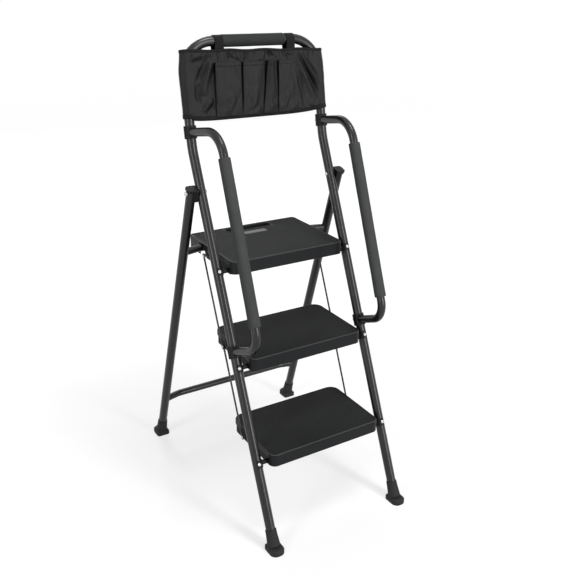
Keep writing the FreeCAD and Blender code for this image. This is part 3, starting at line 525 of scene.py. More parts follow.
def bright_zinc():
    """Bright plated steel with faint clouding."""
    finish = Finish("bright zinc", grey(0.42), grey(0.56), rough=(0.30, 0.44), gloss=0.5,
                    grain=500.0, depth=0.00003, worn=grey(0.30), wear=0.3)
    finish.shader.inputs["Metallic"].default_value = 1.0
    return finish.done()


def badge_plastic():
    """Plain grey plate with a light grain."""
    finish = Finish("plain badge", grey(0.085), grey(0.11), rough=(0.45, 0.6), gloss=0.3,
                    grain=1500.0, depth=0.00008, worn=grey(0.16))
    return finish.done()


PAINTED_SHADE_TRAY_COAT = painted_shade_tray_coat()
TREAD_RELIEF = tread_top("tread relief").done()
RAIL_FOAM = grip_foam("rail foam", 0.054, 0.078)
BAR_FOAM = grip_foam("bar foam", 0.031, 0.046)
NYLON = cloth("bag nylon", grey(0.004), grey(0.009), rough=(0.34, 0.44), gloss=0.17,
              threads=(3600.0, 3600.0), depth=0.00010)
TAPE = cloth("binding tape", grey(0.005), grey(0.010), rough=(0.5, 0.62), gloss=0.12,
             threads=(2200.0, 5200.0), depth=0.0002)
WEBBING = cloth("strap webbing", grey(0.006), grey(0.013), rough=(0.6, 0.75), gloss=0.12,
                threads=(1900.0, 1300.0), depth=0.0003)
THREAD = cloth("sewing thread", grey(0.009), grey(0.016), rough=(0.5, 0.6), gloss=0.2,
               threads=(4000.0, 9000.0), depth=0.0001)
SLOT_FINISH = {"powder_coat": powder_coat(), "tread_plastic": tread_plastic(),
               "joint_plastic": joint_plastic(), "foot_rubber": foot_rubber(),
               "grip_foam": RAIL_FOAM, "bag_cloth": NYLON, "bag_webbing": WEBBING,
               "zinc_hardware": bright_zinc(), "badge_plastic": badge_plastic()}


def finish_cad_nodes():
    """Give each CAD node the finish of its material slot, and the trays their duller coat with its painted
    shade.
    """
    for part in frame["record"]["subparts"]:
        mesh = nodes[part["node"]].data
        mesh.materials.clear()
        mesh.materials.append(SLOT_FINISH[part["material_slot"]])
    for step in STEPS:
        nodes[step + "_step_tray"].data.materials[0] = PAINTED_SHADE_TRAY_COAT


# Modelling helpers
def select_only(*pieces):
    """Select these pieces and no other, with the first one active."""
    bpy.ops.object.select_all(action="DESELECT")
    for piece in pieces:
        piece.select_set(True)
    if pieces:
        bpy.context.view_layer.objects.active = pieces[0]


def named(piece, name, material, body):
    """Name a finished piece, give it its finish and let it ride on a body."""
    piece.name = name
    piece.data.name = name
    piece.data.materials.clear()
    piece.data.materials.append(material)
    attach(piece, body)
    return piece


def pick(piece, kind, test):
    """In edit mode, select the vertices, edges or faces whose middle passes a test."""
    bpy.ops.mesh.select_mode(type=kind)
    bpy.ops.mesh.select_all(action="DESELECT")
    mesh = bmesh.from_edit_mesh(piece.data)
    groups = {"VERT": mesh.verts, "EDGE": mesh.edges, "FACE": mesh.faces}
    for part in groups[kind]:
        if kind == "VERT":
            spot = part.co
        elif kind == "EDGE":
            spot = (part.verts[0].co + part.verts[1].co) / 2
        else:
            spot = part.calc_center_median()
        part.select_set(test(spot))
    mesh.select_flush_mode()
    bmesh.update_edit_mesh(piece.data)


def settle(piece, matrix):
    """Carry a piece that was modelled about the origin to its place, with the place in its mesh."""
    piece.data.transform(matrix)
    piece.matrix_world = Matrix.Identity(4)


def copy_of(model):
    """A copy of a modelled piece, with its own mesh."""
    piece = model.copy()
    piece.data = model.data.copy()
    bpy.context.collection.objects.link(piece)
    return piece


def apply_modifier(piece, modifier):
    """Apply one modifier to its piece."""
    select_only(piece)
    bpy.ops.object.modifier_apply(modifier=modifier.name)


def smooth(piece):
    """Shade a piece smooth except across sharp edges."""
    select_only(piece)
    bpy.ops.object.shade_smooth_by_angle(angle=SHARP_ANGLE)


def smooth_all(piece):
    """Shade every face of a piece smooth."""
    select_only(piece)
    bpy.ops.object.shade_smooth()


def join(pieces):
    """Join several pieces into the first."""
    select_only(*pieces)
    bpy.ops.object.join()
    return pieces[0]


# Foam grips
def end_centres(node):
    """The middles of the two ends of a straight round node."""
    low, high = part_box(node)
    span = high - low
    axis = max(range(3), key=lambda index: span[index])
    middle = (low[axis] + high[axis]) / 2
    ends = [set(), set()]
    for vertex in nodes[node].data.vertices:
        ends[vertex.co[axis] > middle].add(tuple(round(value, 6) for value in vertex.co))
    return [sum((Vector(spot) for spot in end), Vector()) / len(end) for end in ends]


def foam_grip(node, radius, tube_radius, foam):
    """A foam sleeve with cut ends, softened edges and a slightly uneven skin."""
    start, end = end_centres(node)
    length = (end - start).length
    end_height = length / 2 - CLOSE
    select_only()
    bpy.ops.mesh.primitive_cylinder_add(vertices=FOAM_SIDES, radius=radius, depth=length)
    piece = bpy.context.object
    bpy.ops.object.mode_set(mode="EDIT")
    pick(piece, "FACE", lambda spot: abs(spot.z) > end_height)
    bpy.ops.mesh.inset(thickness=radius - tube_radius - FOAM_CLEARANCE, use_individual=True)
    bpy.ops.mesh.extrude_region_move()
    bpy.ops.transform.resize(value=(1, 1, 1 - 2 * FOAM_BORE_STEP / length))
    bpy.ops.mesh.delete(type="FACE")
    bpy.ops.mesh.select_mode(type="EDGE")
    bpy.ops.mesh.select_all(action="DESELECT")
    bpy.ops.mesh.select_non_manifold()
    bpy.ops.mesh.bridge_edge_loops()
    pick(piece, "EDGE", lambda spot: spot.xy.length > radius * FOAM_OUTER_RING and abs(spot.z) > end_height)
    bpy.ops.mesh.bevel(offset=FOAM_EDGE, segments=3, affect="EDGES")
    cuts = round(length / FOAM_CUT_SPACING)
    for cut in range(1, cuts):
        bpy.ops.mesh.select_all(action="SELECT")
        bpy.ops.mesh.bisect(plane_co=(0, 0, length * (cut / cuts - 0.5)), plane_no=(0, 0, 1))
    bpy.ops.mesh.select_all(action="SELECT")
    bpy.ops.mesh.normals_make_consistent(inside=False)
    bpy.ops.object.mode_set(mode="OBJECT")
    texture = bpy.data.textures.new("foam swell", "CLOUDS")
    texture.noise_scale = FOAM_SWELL_SIZE
    swell = piece.modifiers.new("swell", "DISPLACE")
    swell.texture = texture
    swell.strength = FOAM_UNEVEN
    apply_modifier(piece, swell)
    smooth(piece)
    turn = (end - start).to_track_quat("Z", "Y").to_matrix().to_4x4()
    settle(piece, Matrix.Translation((start + end) / 2) @ turn)
    named(piece, node + "_foam", foam, "front_frame")
    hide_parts(node)


# Treads
def corner_cut(distance, radius):
    """How far a rounded corner draws the side in, at a distance from the end of the tread."""
    if distance >= radius:
        return 0.0
    return radius - math.sqrt(radius ** 2 - (radius - distance) ** 2)


def tread_place(step):
    """The corners of a tread's box and the height of its top face."""
    low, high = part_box(step + "_tread")
    rim = SLOT_RIM_HEIGHT if step == "top" else 0.0
    return low, high, high.z - rim


def rib_runs(step, y):
    """The stretches of a rib row, broken round the badge and the hand slot's rim."""
    low, high, _ = tread_place(step)
    front = corner_cut(y - low.y, FRONT_CORNER)
    rear = corner_cut(high.y - y, REAR_CORNERS[step])
    reach = high.x - RIB_MARGIN - max(front, rear)
    if step != "top":
        return [(-reach, reach)]
    badge_low, badge_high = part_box("badge_plate")
    slot_y = badge_high.y + SLOT_FROM_BADGE
    if abs(y - slot_y) < SLOT_RIM_REACH[1] + RIB_WIDTH:
        return [(-reach, -SLOT_RIM_REACH[0] - RIB_WIDTH), (SLOT_RIM_REACH[0] + RIB_WIDTH, reach)]
    if badge_low.y - BADGE_GAP < y < badge_high.y + BADGE_GAP:
        return [(-reach, badge_low.x - BADGE_GAP), (badge_high.x + BADGE_GAP, reach)]
    return [(-reach, reach)]


def rib_model():
    """One short anti-slip rib with softened top edges, to be copied and drawn out."""
    select_only()
    bpy.ops.mesh.primitive_cube_add(size=1)
    rib = bpy.context.object
    settle(rib, Matrix.Diagonal((RIB_WIDTH, RIB_WIDTH, RIB_HEIGHT + RIB_SINK, 1)))
    bpy.ops.object.mode_set(mode="EDIT")
    top = (RIB_HEIGHT + RIB_SINK) / 2
    pick(rib, "EDGE", lambda spot: spot.z > top - CLOSE)
    bpy.ops.mesh.bevel(offset=RIB_HEIGHT * RIB_ROUNDING, segments=2, affect="EDGES")
    bpy.ops.object.mode_set(mode="OBJECT")
    return rib


def tread_ribs(step, model):
    """Rows of ribs across a tread, inside its raised rim."""
    low, high, top = tread_place(step)
    ribs = []
    rows = int((high.y - low.y - 2 * RIB_MARGIN) / RIB_PITCH)
    first = (low.y + high.y - rows * RIB_PITCH) / 2
    for row in range(rows + 1):
        y = first + row * RIB_PITCH
        for start, end in rib_runs(step, y):
            rib = copy_of(model)
            for vertex in rib.data.vertices:
                vertex.co.x += end if vertex.co.x > 0 else start
                vertex.co.y += y
                vertex.co.z += top + (RIB_HEIGHT - RIB_SINK) / 2
            ribs.append(rib)
    return ribs


def tread_rim(step):
    """A low raised line round the top of a tread."""
    low, high, top = tread_place(step)
    select_only()
    bpy.ops.mesh.primitive_plane_add(size=1)
    rim = bpy.context.object
    width = high.x - low.x - 2 * RIM_INSET
    depth = high.y - low.y - 2 * RIM_INSET
    centre = Vector(((low.x + high.x) / 2, (low.y + high.y) / 2, top - RIB_SINK))
    settle(rim, Matrix.Translation(centre) @ Matrix.Diagonal((width, depth, 1, 1)))
    bpy.ops.object.mode_set(mode="EDIT")
    for radius, test in ((FRONT_CORNER, lambda spot: spot.y < centre.y),
                         (REAR_CORNERS[step], lambda spot: spot.y > centre.y + depth / 2 - CLOSE)):
        pick(rim, "VERT", test)
        bpy.ops.mesh.bevel(offset=radius - RIM_INSET, segments=RIM_CORNER_STEPS, affect="VERTICES")
    bpy.ops.mesh.select_all(action="SELECT")
    bpy.ops.mesh.inset(thickness=RIM_WIDTH)
    bpy.ops.mesh.delete(type="FACE")
    bpy.ops.mesh.select_all(action="SELECT")
    bpy.ops.mesh.extrude_region_move(TRANSFORM_OT_translate={"value": (0, 0, RIM_HEIGHT + RIB_SINK)})
    bpy.ops.mesh.bevel(offset=RIM_HEIGHT * RIM_ROUNDING, segments=2, affect="EDGES")
    bpy.ops.mesh.select_all(action="SELECT")
    bpy.ops.mesh.normals_make_consistent(inside=False)
    bpy.ops.object.mode_set(mode="OBJECT")
    return rim


def dress_treads():
    """Ribs and a rim on each tread."""
    model = rib_model()
    for step in STEPS:
        relief = join([tread_rim(step)] + tread_ribs(step, model))
        smooth(relief)
        named(relief, step + "_tread_relief", TREAD_RELIEF, step + "_step")
    bpy.data.objects.remove(model)


# Tool bag
def bag_point(u, w, n):
    """A point beside the upper frame: u across, w up along the uprights and n out of the bag's front."""
    return bag_centre + Vector((u, 0, 0)) + BAG_UP * w + BAG_FRONT * n


def ease(value, low, high):
    """A smooth step from 0 at low to 1 at high."""
    share = min(1.0, max(0.0, (value - low) / (high - low)))
    return share * share * (3 - 2 * share)


def cloth_noise(across, up, pattern, layer=0):
    """Smooth noise at a spot of the cloth, in one layer of a noise pattern."""
    scale_across, scale_up, first, step = pattern
    return noise.noise(Vector((across * scale_across, up * scale_up, first + layer * step)))


def fold_line(start, middle, end):
    """Points along a bent fold, from one end to the other."""
    shares = [step / FOLD_STEPS for step in range(FOLD_STEPS + 1)]
    first, bend, last = Vector(start), Vector(middle), Vector(end)
    return [first * (1 - s) ** 2 + (4 * bend - first - last) * s * (1 - s) + last * s ** 2 for s in shares]


FOLD_LINES = [(fold_line(start, middle, end), height, width) for start, middle, end, height, width in FOLDS]


def fold_near(line, spot, reach):
    """Whether a spot lies within reach of the box round a fold's ends and middle."""
    ends = (line[0], line[FOLD_STEPS // 2], line[-1])
    return all(min(end[axis] for end in ends) - reach < spot[axis] < max(end[axis] for end in ends) + reach
               for axis in (0, 1))


def fold_height(u, w):
    """How far the folds raise or sink the front cloth at one spot."""
    total = 0.0
    spot = Vector((u, w))
    for line, height, width in FOLD_LINES:
        if not fold_near(line, spot, FOLD_REACH * width):
            continue
        step = min(range(len(line)), key=lambda index: (line[index] - spot).length_squared)
        run = (line[min(step + 1, FOLD_STEPS)] - line[max(step - 1, 0)]).normalized()
        offset = spot - line[step]
        share = (step + offset.dot(run) * FOLD_STEPS / (line[-1] - line[0]).length) / FOLD_STEPS
        if not 0 < share < 1:
            continue
        aside = abs(run.x * offset.y - run.y * offset.x)
        total += height * math.exp(-(aside / width) ** 2) * math.sin(math.pi * share) ** FOLD_TAPER
    return total * FOLD_GAIN


def crease(u, w, layer):
    """Fine sharp creases that run mostly up and down slack cloth."""
    across = u * CREASE_ACROSS[0] + w * CREASE_ACROSS[1]
    up = u * CREASE_UP[0] + w * CREASE_UP[1]
    ridge = noise.noise(Vector((across, up, CREASE_LAYERS[0] + layer * CREASE_LAYERS[1])))
    return CREASE_HEIGHT * (CREASE_LEVEL - CREASE_GAIN * abs(ridge))


def gather(u, w):
    """Short upright ripples where the cloth is sewn to its upper binding."""
    rise = ease(w, BAG_HALF_HEIGHT - GATHER_START, BAG_HALF_HEIGHT - GATHER_FULL)
    fade = ease(w, BAG_HALF_HEIGHT - GATHER_FADE, BAG_HALF_HEIGHT)
    sway = GATHER_SWAY * cloth_noise(u, w, GATHER_NOISE)
    return GATHER_HEIGHT * rise * (1 - fade) * math.sin(u * GATHER_WAVES + sway)


def ripple(u, w, layer):
    """Soft unevenness of slack cloth, with its creases."""
    broad = BROAD_HEIGHT * cloth_noise(u, w, BROAD_NOISE, layer)
    narrow = NARROW_HEIGHT * cloth_noise(u, w, NARROW_NOISE, layer)
    return broad + narrow + crease(u, w, layer)


def bag_edge(w, u):
    """Height on the bag, with the lower edge held up at the uprights and the upper one hanging askew."""
    side = u / HALF_SPACING
    low_share = 1 - ease(w, -BAG_HALF_HEIGHT, BAG_HALF_HEIGHT * LOW_EDGE_FADE)
    high_share = ease(w, BAG_HALF_HEIGHT * TOP_EDGE_START, BAG_HALF_HEIGHT)
    rise = LOW_EDGE_LIFT * abs(side) ** LOW_EDGE_POWERS["left" if side < 0 else "right"]
    tilt = TOP_EDGE_WAVE * math.sin(u * TOP_EDGE_WAVES) - TOP_EDGE_TILT * side
    return w + rise * low_share + tilt * high_share


def slackness(u):
    """How free of the uprights the cloth is, from 0 to 1, and the share of its folds that shows there."""
    free = 1 - min(1.0, (u / HALF_SPACING) ** 2)
    return free, ease(free, 0.0, SLACK_SHARE)


def front_depth(u, w):
    """How far the front cloth stands before the frame's middle plane."""
    free, slack = slackness(u)
    folds = fold_height(u, w) + ripple(u, w, FRONT_LAYER) + gather(u, w)
    return BAG_HALF_DEPTH + BAG_BELLY * free + slack * folds


def back_depth(u, w):
    """How far the back cloth stands behind the frame's middle plane."""
    free, slack = slackness(u)
    folds = BACK_FOLD_SHARE * fold_height(-u, w) + ripple(u, w, BACK_LAYER)
    return BAG_HALF_DEPTH - BAG_BELLY * free + slack * folds


def sleeve_loop():
    """Places round the sleeve as (part, across or angle), from the front's left end right round."""
    columns = round(2 * HALF_SPACING / CLOTH_STEP)
    across = [HALF_SPACING * (2 * column / columns - 1) for column in range(columns + 1)]
    turns = [math.pi * step / SIDE_STEPS for step in range(1, SIDE_STEPS)]
    loop = [("front", u) for u in across]
    loop += [("right", turn) for turn in turns]
    loop += [("back", u) for u in reversed(across)]
    loop += [("left", turn) for turn in turns]
    return loop


def sleeve_point(spot, w, proud=0.0):
    """A point of the sleeve, standing proud of the cloth by some distance."""
    part, value = spot
    if part == "front":
        return bag_point(value, bag_edge(w, value), front_depth(value, w) + proud)
    if part == "back":
        return bag_point(value, bag_edge(w, value), -back_depth(value, w) - proud)
    side = 1 if part == "right" else -1
    empty = ease(w, BAG_HALF_HEIGHT * SIDE_SAG_START, BAG_HALF_HEIGHT)
    ripples = SIDE_RIPPLE * cloth_noise(w, value, SIDE_NOISE, side)
    reach = BAG_HALF_DEPTH + proud - SIDE_SAG[part] * empty + ripples
    depth = (BAG_HALF_DEPTH + proud) * (1 - SIDE_FLATTENING * empty * math.sin(value))
    out = HALF_SPACING + reach * math.sin(value)
    return bag_point(side * out, bag_edge(w, side * HALF_SPACING), side * depth * math.cos(value))


def grid_piece(name, rows, closed):
    """A cloth mesh from rows of points, with a map in metres along and across it."""
    columns = len(rows[0])
    spans = columns if closed else columns - 1
    points = [point for row in rows for point in row]
    faces = []
    for row in range(len(rows) - 1):
        for column in range(spans):
            after = (column + 1) % columns
            first = row * columns
            faces.append((first + column, first + after, first + columns + after, first + columns + column))
    mesh = bpy.data.meshes.new(name)
    mesh.from_pydata(points, [], faces)
    layer = mesh.uv_layers.new(name="cloth")
    along = [0.0]
    for column in range(columns):
        along.append(along[-1] + (rows[0][(column + 1) % columns] - rows[0][column]).length)
    up = [0.0]
    for row in range(len(rows) - 1):
        up.append(up[-1] + (rows[row + 1][0] - rows[row][0]).length)
    for face in mesh.polygons:
        row, column = divmod(face.index, spans)
        spots = ((column, row), (column + 1, row), (column + 1, row + 1), (column, row + 1))
        for loop, (x, y) in zip(face.loop_indices, spots):
            layer.data[loop].uv = (along[x], up[y])
    piece = bpy.data.objects.new(name, mesh)
    bpy.context.collection.objects.link(piece)
    return piece


def thicken(piece, thickness, levels=0):
    """Give a cloth mesh its thickness, to both sides alike, and smooth it."""
    wall = piece.modifiers.new("wall", "SOLIDIFY")
    wall.thickness = thickness
    wall.offset = 0.0
    apply_modifier(piece, wall)
    if levels:
        soft = piece.modifiers.new("soft", "SUBSURF")
        soft.levels = levels
        soft.render_levels = levels
        apply_modifier(piece, soft)
    smooth_all(piece)


def heights(low, high, step):
    """Evenly spaced heights from low to high."""
    count = max(1, round((high - low) / step))
    return [low + (high - low) * index / count for index in range(count + 1)]


def bag_sleeve():
    """The bag's front and back cloth, as a slack sleeve round both uprights."""
    loop = sleeve_loop()
    rows = [[sleeve_point(spot, w) for spot in loop]
            for w in heights(-BAG_HALF_HEIGHT, BAG_HALF_HEIGHT, CLOTH_STEP)]
    piece = grid_piece("tool_bag_cloth", rows, True)
    thicken(piece, CLOTH_THICKNESS)
    named(piece, "tool_bag_cloth", NYLON, "front_frame")
    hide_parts("tool_bag_sleeve")
    return piece


def bag_binding(name, edge, inward):
    """A tape folded over one edge of the sleeve; inward runs from the edge over the cloth."""
    loop = sleeve_loop()
    skin = CLOTH_THICKNESS / 2 + BINDING_GAP
    path = [(edge + inward, skin), (edge + inward / 2, skin + BINDING_BULGE)]
    path += [(edge, skin), (edge - math.copysign(BINDING_TURN, inward), 0.0), (edge, -skin)]
    path += [(edge + inward / 2, -skin), (edge + inward, -skin)]
    rows = [[sleeve_point(spot, w, proud) for spot in loop] for w, proud in path]
    if inward < 0:
        rows.reverse()
    piece = grid_piece(name, rows, True)
    thicken(piece, BINDING_THICKNESS, levels=1)
    return named(piece, name, TAPE, "front_frame")


def pocket_wrinkle(u, t, index):
    """Slanted wrinkles near the foot of a pocket, where it is pinched."""
    foot = ease(t, 0.0, WRINKLE_RISE) * (1 - ease(t, *WRINKLE_FADE))
    sway = WRINKLE_SWAY * cloth_noise(u, t, WRINKLE_NOISE, index)
    phase = u * WRINKLE_WAVES[0] + t * WRINKLE_WAVES[1] + index * WRINKLE_SHIFT
    return WRINKLE_HEIGHT * foot * math.sin(phase + sway)


def pocket_point(index, share, t, proud=0.0):
    """A point of a pocket: share runs from its left seam over its face to its right seam, t up its height."""
    mouth_left, mouth_right, foot_left, foot_right = POCKETS[index]
    left = foot_left + (mouth_left - foot_left) * t
    right = foot_right + (mouth_right - foot_right) * t
    depth = POCKET_FOOT + (POCKET_MOUTH - POCKET_FOOT) * t ** POCKET_OPENING
    w = POCKET_LOW + (POCKET_HIGH - POCKET_LOW) * t
    from_seam = min(share, 1 - share) / POCKET_SIDE_SHARE
    if from_seam < 1:
        tuck = POCKET_TUCK * t * (1 - from_seam) ** 2
        u = left + tuck if share < 0.5 else right - tuck
        n = depth * from_seam
    else:
        face = (share - POCKET_SIDE_SHARE) / (1 - 2 * POCKET_SIDE_SHARE)
        u = left + (right - left) * face
        swell = max(0.0, math.sin(math.pi * face))
        run_start, run_length = POCKET_SWELL_RUN
        n = depth + POCKET_SWELL * swell * math.sin(math.pi * (run_start + run_length * t))
        layer = POCKET_LAYER + index * POCKET_LAYER_STEP
        n += (ripple(u * POCKET_STRETCH, w, layer) + pocket_wrinkle(u, t, index)) * math.sqrt(swell)
        if index == PLEATED_POCKET:
            n += PLEAT_DEPTH * t * swell ** 2
    droop = POCKET_DROOP * math.sin(math.pi * share) * t ** POCKET_DROOP_POWER
    follow = POCKET_FOLLOW * (1 - t) * (front_depth(u, w) - BAG_HALF_DEPTH)
    base = BAG_HALF_DEPTH + follow + CLOTH_THICKNESS
    return bag_point(u, bag_edge(w, u) - droop, base + n + proud)


def bag_pockets():
    """Four open pockets on the bag's front, with gathered sides and hemmed mouths."""
    parts = []
    flat_width = 0.0
    for index, (_, _, foot_left, foot_right) in enumerate(POCKETS):
        columns = round((foot_right - foot_left) / POCKET_COLUMN) + POCKET_SIDE_COLUMNS
        shares = [column / columns for column in range(columns + 1)]
        rows = [[pocket_point(index, share, t) for share in shares] for t in heights(0.0, 1.0, POCKET_ROW)]
        parts.append(grid_piece("pocket", rows, False))
        hem = [[pocket_point(index, share, t, HEM_PROUD) for share in shares] for t in HEM_ROWS]
        parts.append(grid_piece("pocket_hem", hem, False))
        flat_width += sum((after - before).length for before, after in zip(rows[-1], rows[-1][1:]))
    piece = join(parts)
    thicken(piece, POCKET_THICKNESS, levels=1)
    named(piece, "tool_bag_pockets", NYLON, "front_frame")
    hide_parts("bag_pockets")
    return piece, flat_width


def strap_path():
    """The side view of a strap: up inside the front cloth, over the bar and down to the back, as (n, w)."""
    over = TUBE_RADIUS + STRAP_THICKNESS / 2 + STRAP_GAP
    front = BAG_HALF_DEPTH - CLOTH_THICKNESS - STRAP_THICKNESS
    low = BAG_HALF_HEIGHT - STRAP_TUCK
    high = BAG_HALF_HEIGHT + STRAP_EXIT
    turns = [math.pi * step / STRAP_TURN_STEPS for step in range(STRAP_TURN_STEPS + 1)]
    round_bar = [(over * math.cos(turn), BAR_UP + over * math.sin(turn)) for turn in turns]
    return [(front, low), (front, high)] + round_bar + [(-front, high), (-front, low)]


def along_path(path, spacing):
    """Points at even spacing along a path of straight runs, and the path's length."""
    spots = [Vector(spot) for spot in path]
    lengths = [0.0]
    for before, after in zip(spots, spots[1:]):
        lengths.append(lengths[-1] + (after - before).length)
    count = round(lengths[-1] / spacing)
    result = []
    run = 0
    for index in range(count + 1):
        reach = lengths[-1] * index / count
        while run < len(spots) - 2 and lengths[run + 1] < reach:
            run += 1
        share = (reach - lengths[run]) / (lengths[run + 1] - lengths[run])
        result.append(spots[run].lerp(spots[run + 1], share))
    return result, lengths[-1]


def bag_strap(side):
    """A ribbed webbing strap that carries the bag on the top bar."""
    low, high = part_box("bag_strap_" + side)
    middle = (low.x + high.x) / 2 + STRAP_SHIFT
    spots, length = along_path(strap_path(), STRAP_ROW)
    rows = []
    for index, spot in enumerate(spots):
        rib = STRAP_RIB if index % 2 else 0.0
        out = Vector((spot.x, spot.y - BAR_UP)).normalized()
        row = []
        for column in range(STRAP_COLUMNS + 1):
            share = 2 * column / STRAP_COLUMNS - 1
            push = out * (rib - STRAP_EDGE_DROP * abs(share) ** STRAP_EDGE_POWER)
            row.append(bag_point(middle + share * STRAP_WIDTH / 2, spot.y + push.y, spot.x + push.x))
        rows.append(row)
    piece = grid_piece("tool_bag_strap_" + side, rows, False)
    thicken(piece, STRAP_THICKNESS)
    named(piece, "tool_bag_strap_" + side, WEBBING, "front_frame")
    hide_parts("bag_strap_" + side)


def stitch_model():
    """One short stitch of thread, to be copied along a seam."""
    select_only()
    bpy.ops.mesh.primitive_uv_sphere_add(segments=6, ring_count=4, radius=0.5)
    stitch = bpy.context.object
    settle(stitch, Matrix.Diagonal((*STITCH_SIZE, 1)))
    return stitch


def seam(name, pairs):
    """A row of stitches on the bag's front, one between each pair of points."""
    model = stitch_model()
    stitches = []
    for before, after in pairs:
        along = (after - before).normalized()
        side = BAG_FRONT.cross(along).normalized()
        turn = Matrix((along, side, along.cross(side))).transposed().to_4x4()
        stitch = copy_of(model)
        settle(stitch, Matrix.Translation((before + after) / 2) @ turn)
        stitches.append(stitch)
    bpy.data.objects.remove(model)
    piece = join(stitches)
    smooth_all(piece)
    return named(piece, name, THREAD, "front_frame")


def binding_seams():
    """Stitch lines along both bindings, on the bag's front."""
    skin = CLOTH_THICKNESS / 2 + STITCH_PROUD
    top_line = BAG_HALF_HEIGHT - TOP_BINDING * TOP_SEAM_SHARE
    low_line = -BAG_HALF_HEIGHT + LOW_BINDING * LOW_SEAM_SHARE
    count = round(2 * HALF_SPACING / STITCH_PITCH)
    pairs = []
    for w in (top_line, low_line):
        for index in range(count):
            u = HALF_SPACING * (2 * index / count - 1)
            pairs.append([sleeve_point(("front", end), w, skin) for end in (u, u + STITCH_SIZE[0])])
    return seam("tool_bag_binding_seams", pairs)


def pocket_seams():
    """Stitch lines along the pocket hems."""
    pairs = []
    for index, (mouth_left, mouth_right, _, _) in enumerate(POCKETS):
        count = round((mouth_right - mouth_left) / HEM_STITCH_PITCH)
        for stitch in range(1, count - 1):
            shares = [POCKET_SIDE_SHARE + (1 - 2 * POCKET_SIDE_SHARE) * (stitch + part) / count
                      for part in (0.0, HEM_STITCH_SHARE)]
            pairs.append([pocket_point(index, share, HEM_SEAM, HEM_STITCH_PROUD) for share in shares])
    return seam("tool_bag_pocket_seams", pairs)


def tool_bag():
    """The whole bag with its bindings, pockets, straps and seams."""
    sleeve = bag_sleeve()
    bindings = [bag_binding("tool_bag_top_binding", BAG_HALF_HEIGHT, -TOP_BINDING),
                bag_binding("tool_bag_bottom_binding", -BAG_HALF_HEIGHT, LOW_BINDING)]
    bindings + [binding_seams()]
    pockets, flat_width = bag_pockets()
    pocket_seams()
    for side in SIDES:
        bag_strap(side)


# Studio
def seen_rays(tree):
    """1 for rays by which the background is seen: straight, mirrored or through glass."""
    path = tree.nodes.new("ShaderNodeLightPath")
    mirrored = math_node(tree, "MAXIMUM", path.outputs["Is Glossy Ray"], path.outputs["Is Transmission Ray"])
    return math_node(tree, "MAXIMUM", path.outputs["Is Camera Ray"], mirrored)


def show_by_ray(tree, plain, seen, output):
    """Give one shader to the rays by which the background is seen, and a plain one to the rest."""
    choose = tree.nodes.new("ShaderNodeMixShader")
    for socket, source in zip(choose.inputs, (seen_rays(tree), plain.outputs[0], seen.outputs[0])):
        tree.links.new(source, socket)
    tree.links.new(choose.outputs[0], tree.nodes[output].inputs["Surface"])


def studio_floor():
    """A wide pale floor that is white to the camera and keeps the soft shadow."""
    select_only()
    bpy.ops.mesh.primitive_plane_add(size=FLOOR_SIZE)
    floor = bpy.context.object
    floor.name = "floor"
    material = bpy.data.materials.new("pale floor")
    material.use_nodes = True
    tree = material.node_tree
    tree.nodes.remove(tree.nodes["Principled BSDF"])
    lit = place(tree, "ShaderNodeBsdfDiffuse", Color=FLOOR_LIT)
    plain = place(tree, "ShaderNodeBsdfDiffuse", Color=FLOOR_PLAIN)
    glow = place(tree, "ShaderNodeEmission", Color=WHITE)
    spot = tree.nodes.new("ShaderNodeTexCoord").outputs["Object"]
    square = tree.nodes.new("ShaderNodeVectorMath")
    square.operation = "DOT_PRODUCT"
    for socket in square.inputs[:2]:
        tree.links.new(spot, socket)
    spread = math_node(tree, "MULTIPLY_ADD", square.outputs["Value"], LAMP_REACH ** -2, 1.0)
    lamp_share = math_node(tree, "DIVIDE", LAMP_GLOW, spread)
    tree.links.new(math_node(tree, "SUBTRACT", FAR_GLOW, lamp_share), glow.inputs["Strength"])
    seen = tree.nodes.new("ShaderNodeAddShader")
    tree.links.new(lit.outputs[0], seen.inputs[0])
    tree.links.new(glow.outputs[0], seen.inputs[1])
    show_by_ray(tree, plain, seen, "Material Output")
    floor.data.materials.append(material)


def studio_world():
    """White where it is seen, and a plain soft grey light otherwise."""
    world = bpy.data.worlds.new("studio")
    bpy.context.scene.world = world
    world.use_nodes = True
    tree = world.node_tree
    tree.nodes.remove(tree.nodes["Background"])
    light = place(tree, "ShaderNodeBackground", Color=WHITE, Strength=WORLD_LIGHT)
    white = place(tree, "ShaderNodeBackground", Color=WHITE, Strength=1.0)
    show_by_ray(tree, light, white, "World Output")


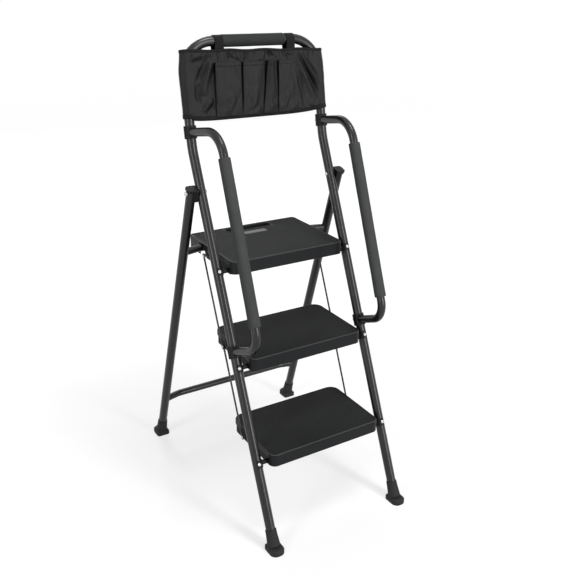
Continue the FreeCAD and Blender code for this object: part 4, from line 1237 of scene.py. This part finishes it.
def studio_lights():
    """A tall box on each side of the camera, the right one stronger, one overhead and one behind."""
    for name, spot, width, height, watts in LAMPS:
        lamp = bpy.data.lights.new(name, "AREA")
        lamp.shape = "RECTANGLE"
        lamp.size = width
        lamp.size_y = height
        lamp.energy = watts
        holder = bpy.data.objects.new(name, lamp)
        holder.location = spot
        holder.rotation_euler = (LAMP_TARGET - Vector(spot)).to_track_quat("-Z", "Y").to_euler()
        bpy.context.collection.objects.link(holder)


def studio_camera():
    """The camera, turned by its yaw, pitch and roll, with the picture's centre shifted as measured."""
    flat = math.cos(CAMERA_PITCH)
    forward = Vector((math.sin(CAMERA_YAW) * flat, math.cos(CAMERA_YAW) * flat, math.sin(CAMERA_PITCH)))
    level = Vector((math.cos(CAMERA_YAW), -math.sin(CAMERA_YAW), 0))
    upright = level.cross(forward)
    right = math.cos(CAMERA_ROLL) * level + math.sin(CAMERA_ROLL) * upright
    up = -math.sin(CAMERA_ROLL) * level + math.cos(CAMERA_ROLL) * upright
    data = bpy.data.cameras.new("camera")
    data.sensor_width = SENSOR_WIDTH
    data.lens = SENSOR_WIDTH * FOCAL_PIXELS / FRAME_PIXELS
    data.shift_x = (FRAME_PIXELS / 2 - CENTRE_PIXEL[0]) / FRAME_PIXELS
    data.shift_y = (CENTRE_PIXEL[1] - FRAME_PIXELS / 2) / FRAME_PIXELS
    camera = bpy.data.objects.new("camera", data)
    turn = Matrix((right, up, -forward)).transposed().to_4x4()
    camera.matrix_world = Matrix.Translation(CAMERA_PLACE) @ turn
    bpy.context.collection.objects.link(camera)
    bpy.context.scene.camera = camera


finish_cad_nodes()
foam_grip("top_bar_grip", BAR_GRIP_RADIUS, TUBE_RADIUS, BAR_FOAM)
for side in SIDES:
    foam_grip("handrail_grip_" + side, RAIL_GRIP_RADIUS, HANDRAIL_RADIUS, RAIL_FOAM)
dress_treads()
tool_bag()
studio_floor()
studio_world()
studio_lights()
studio_camera()
bpy.context.scene.view_settings.view_transform = "Standard"
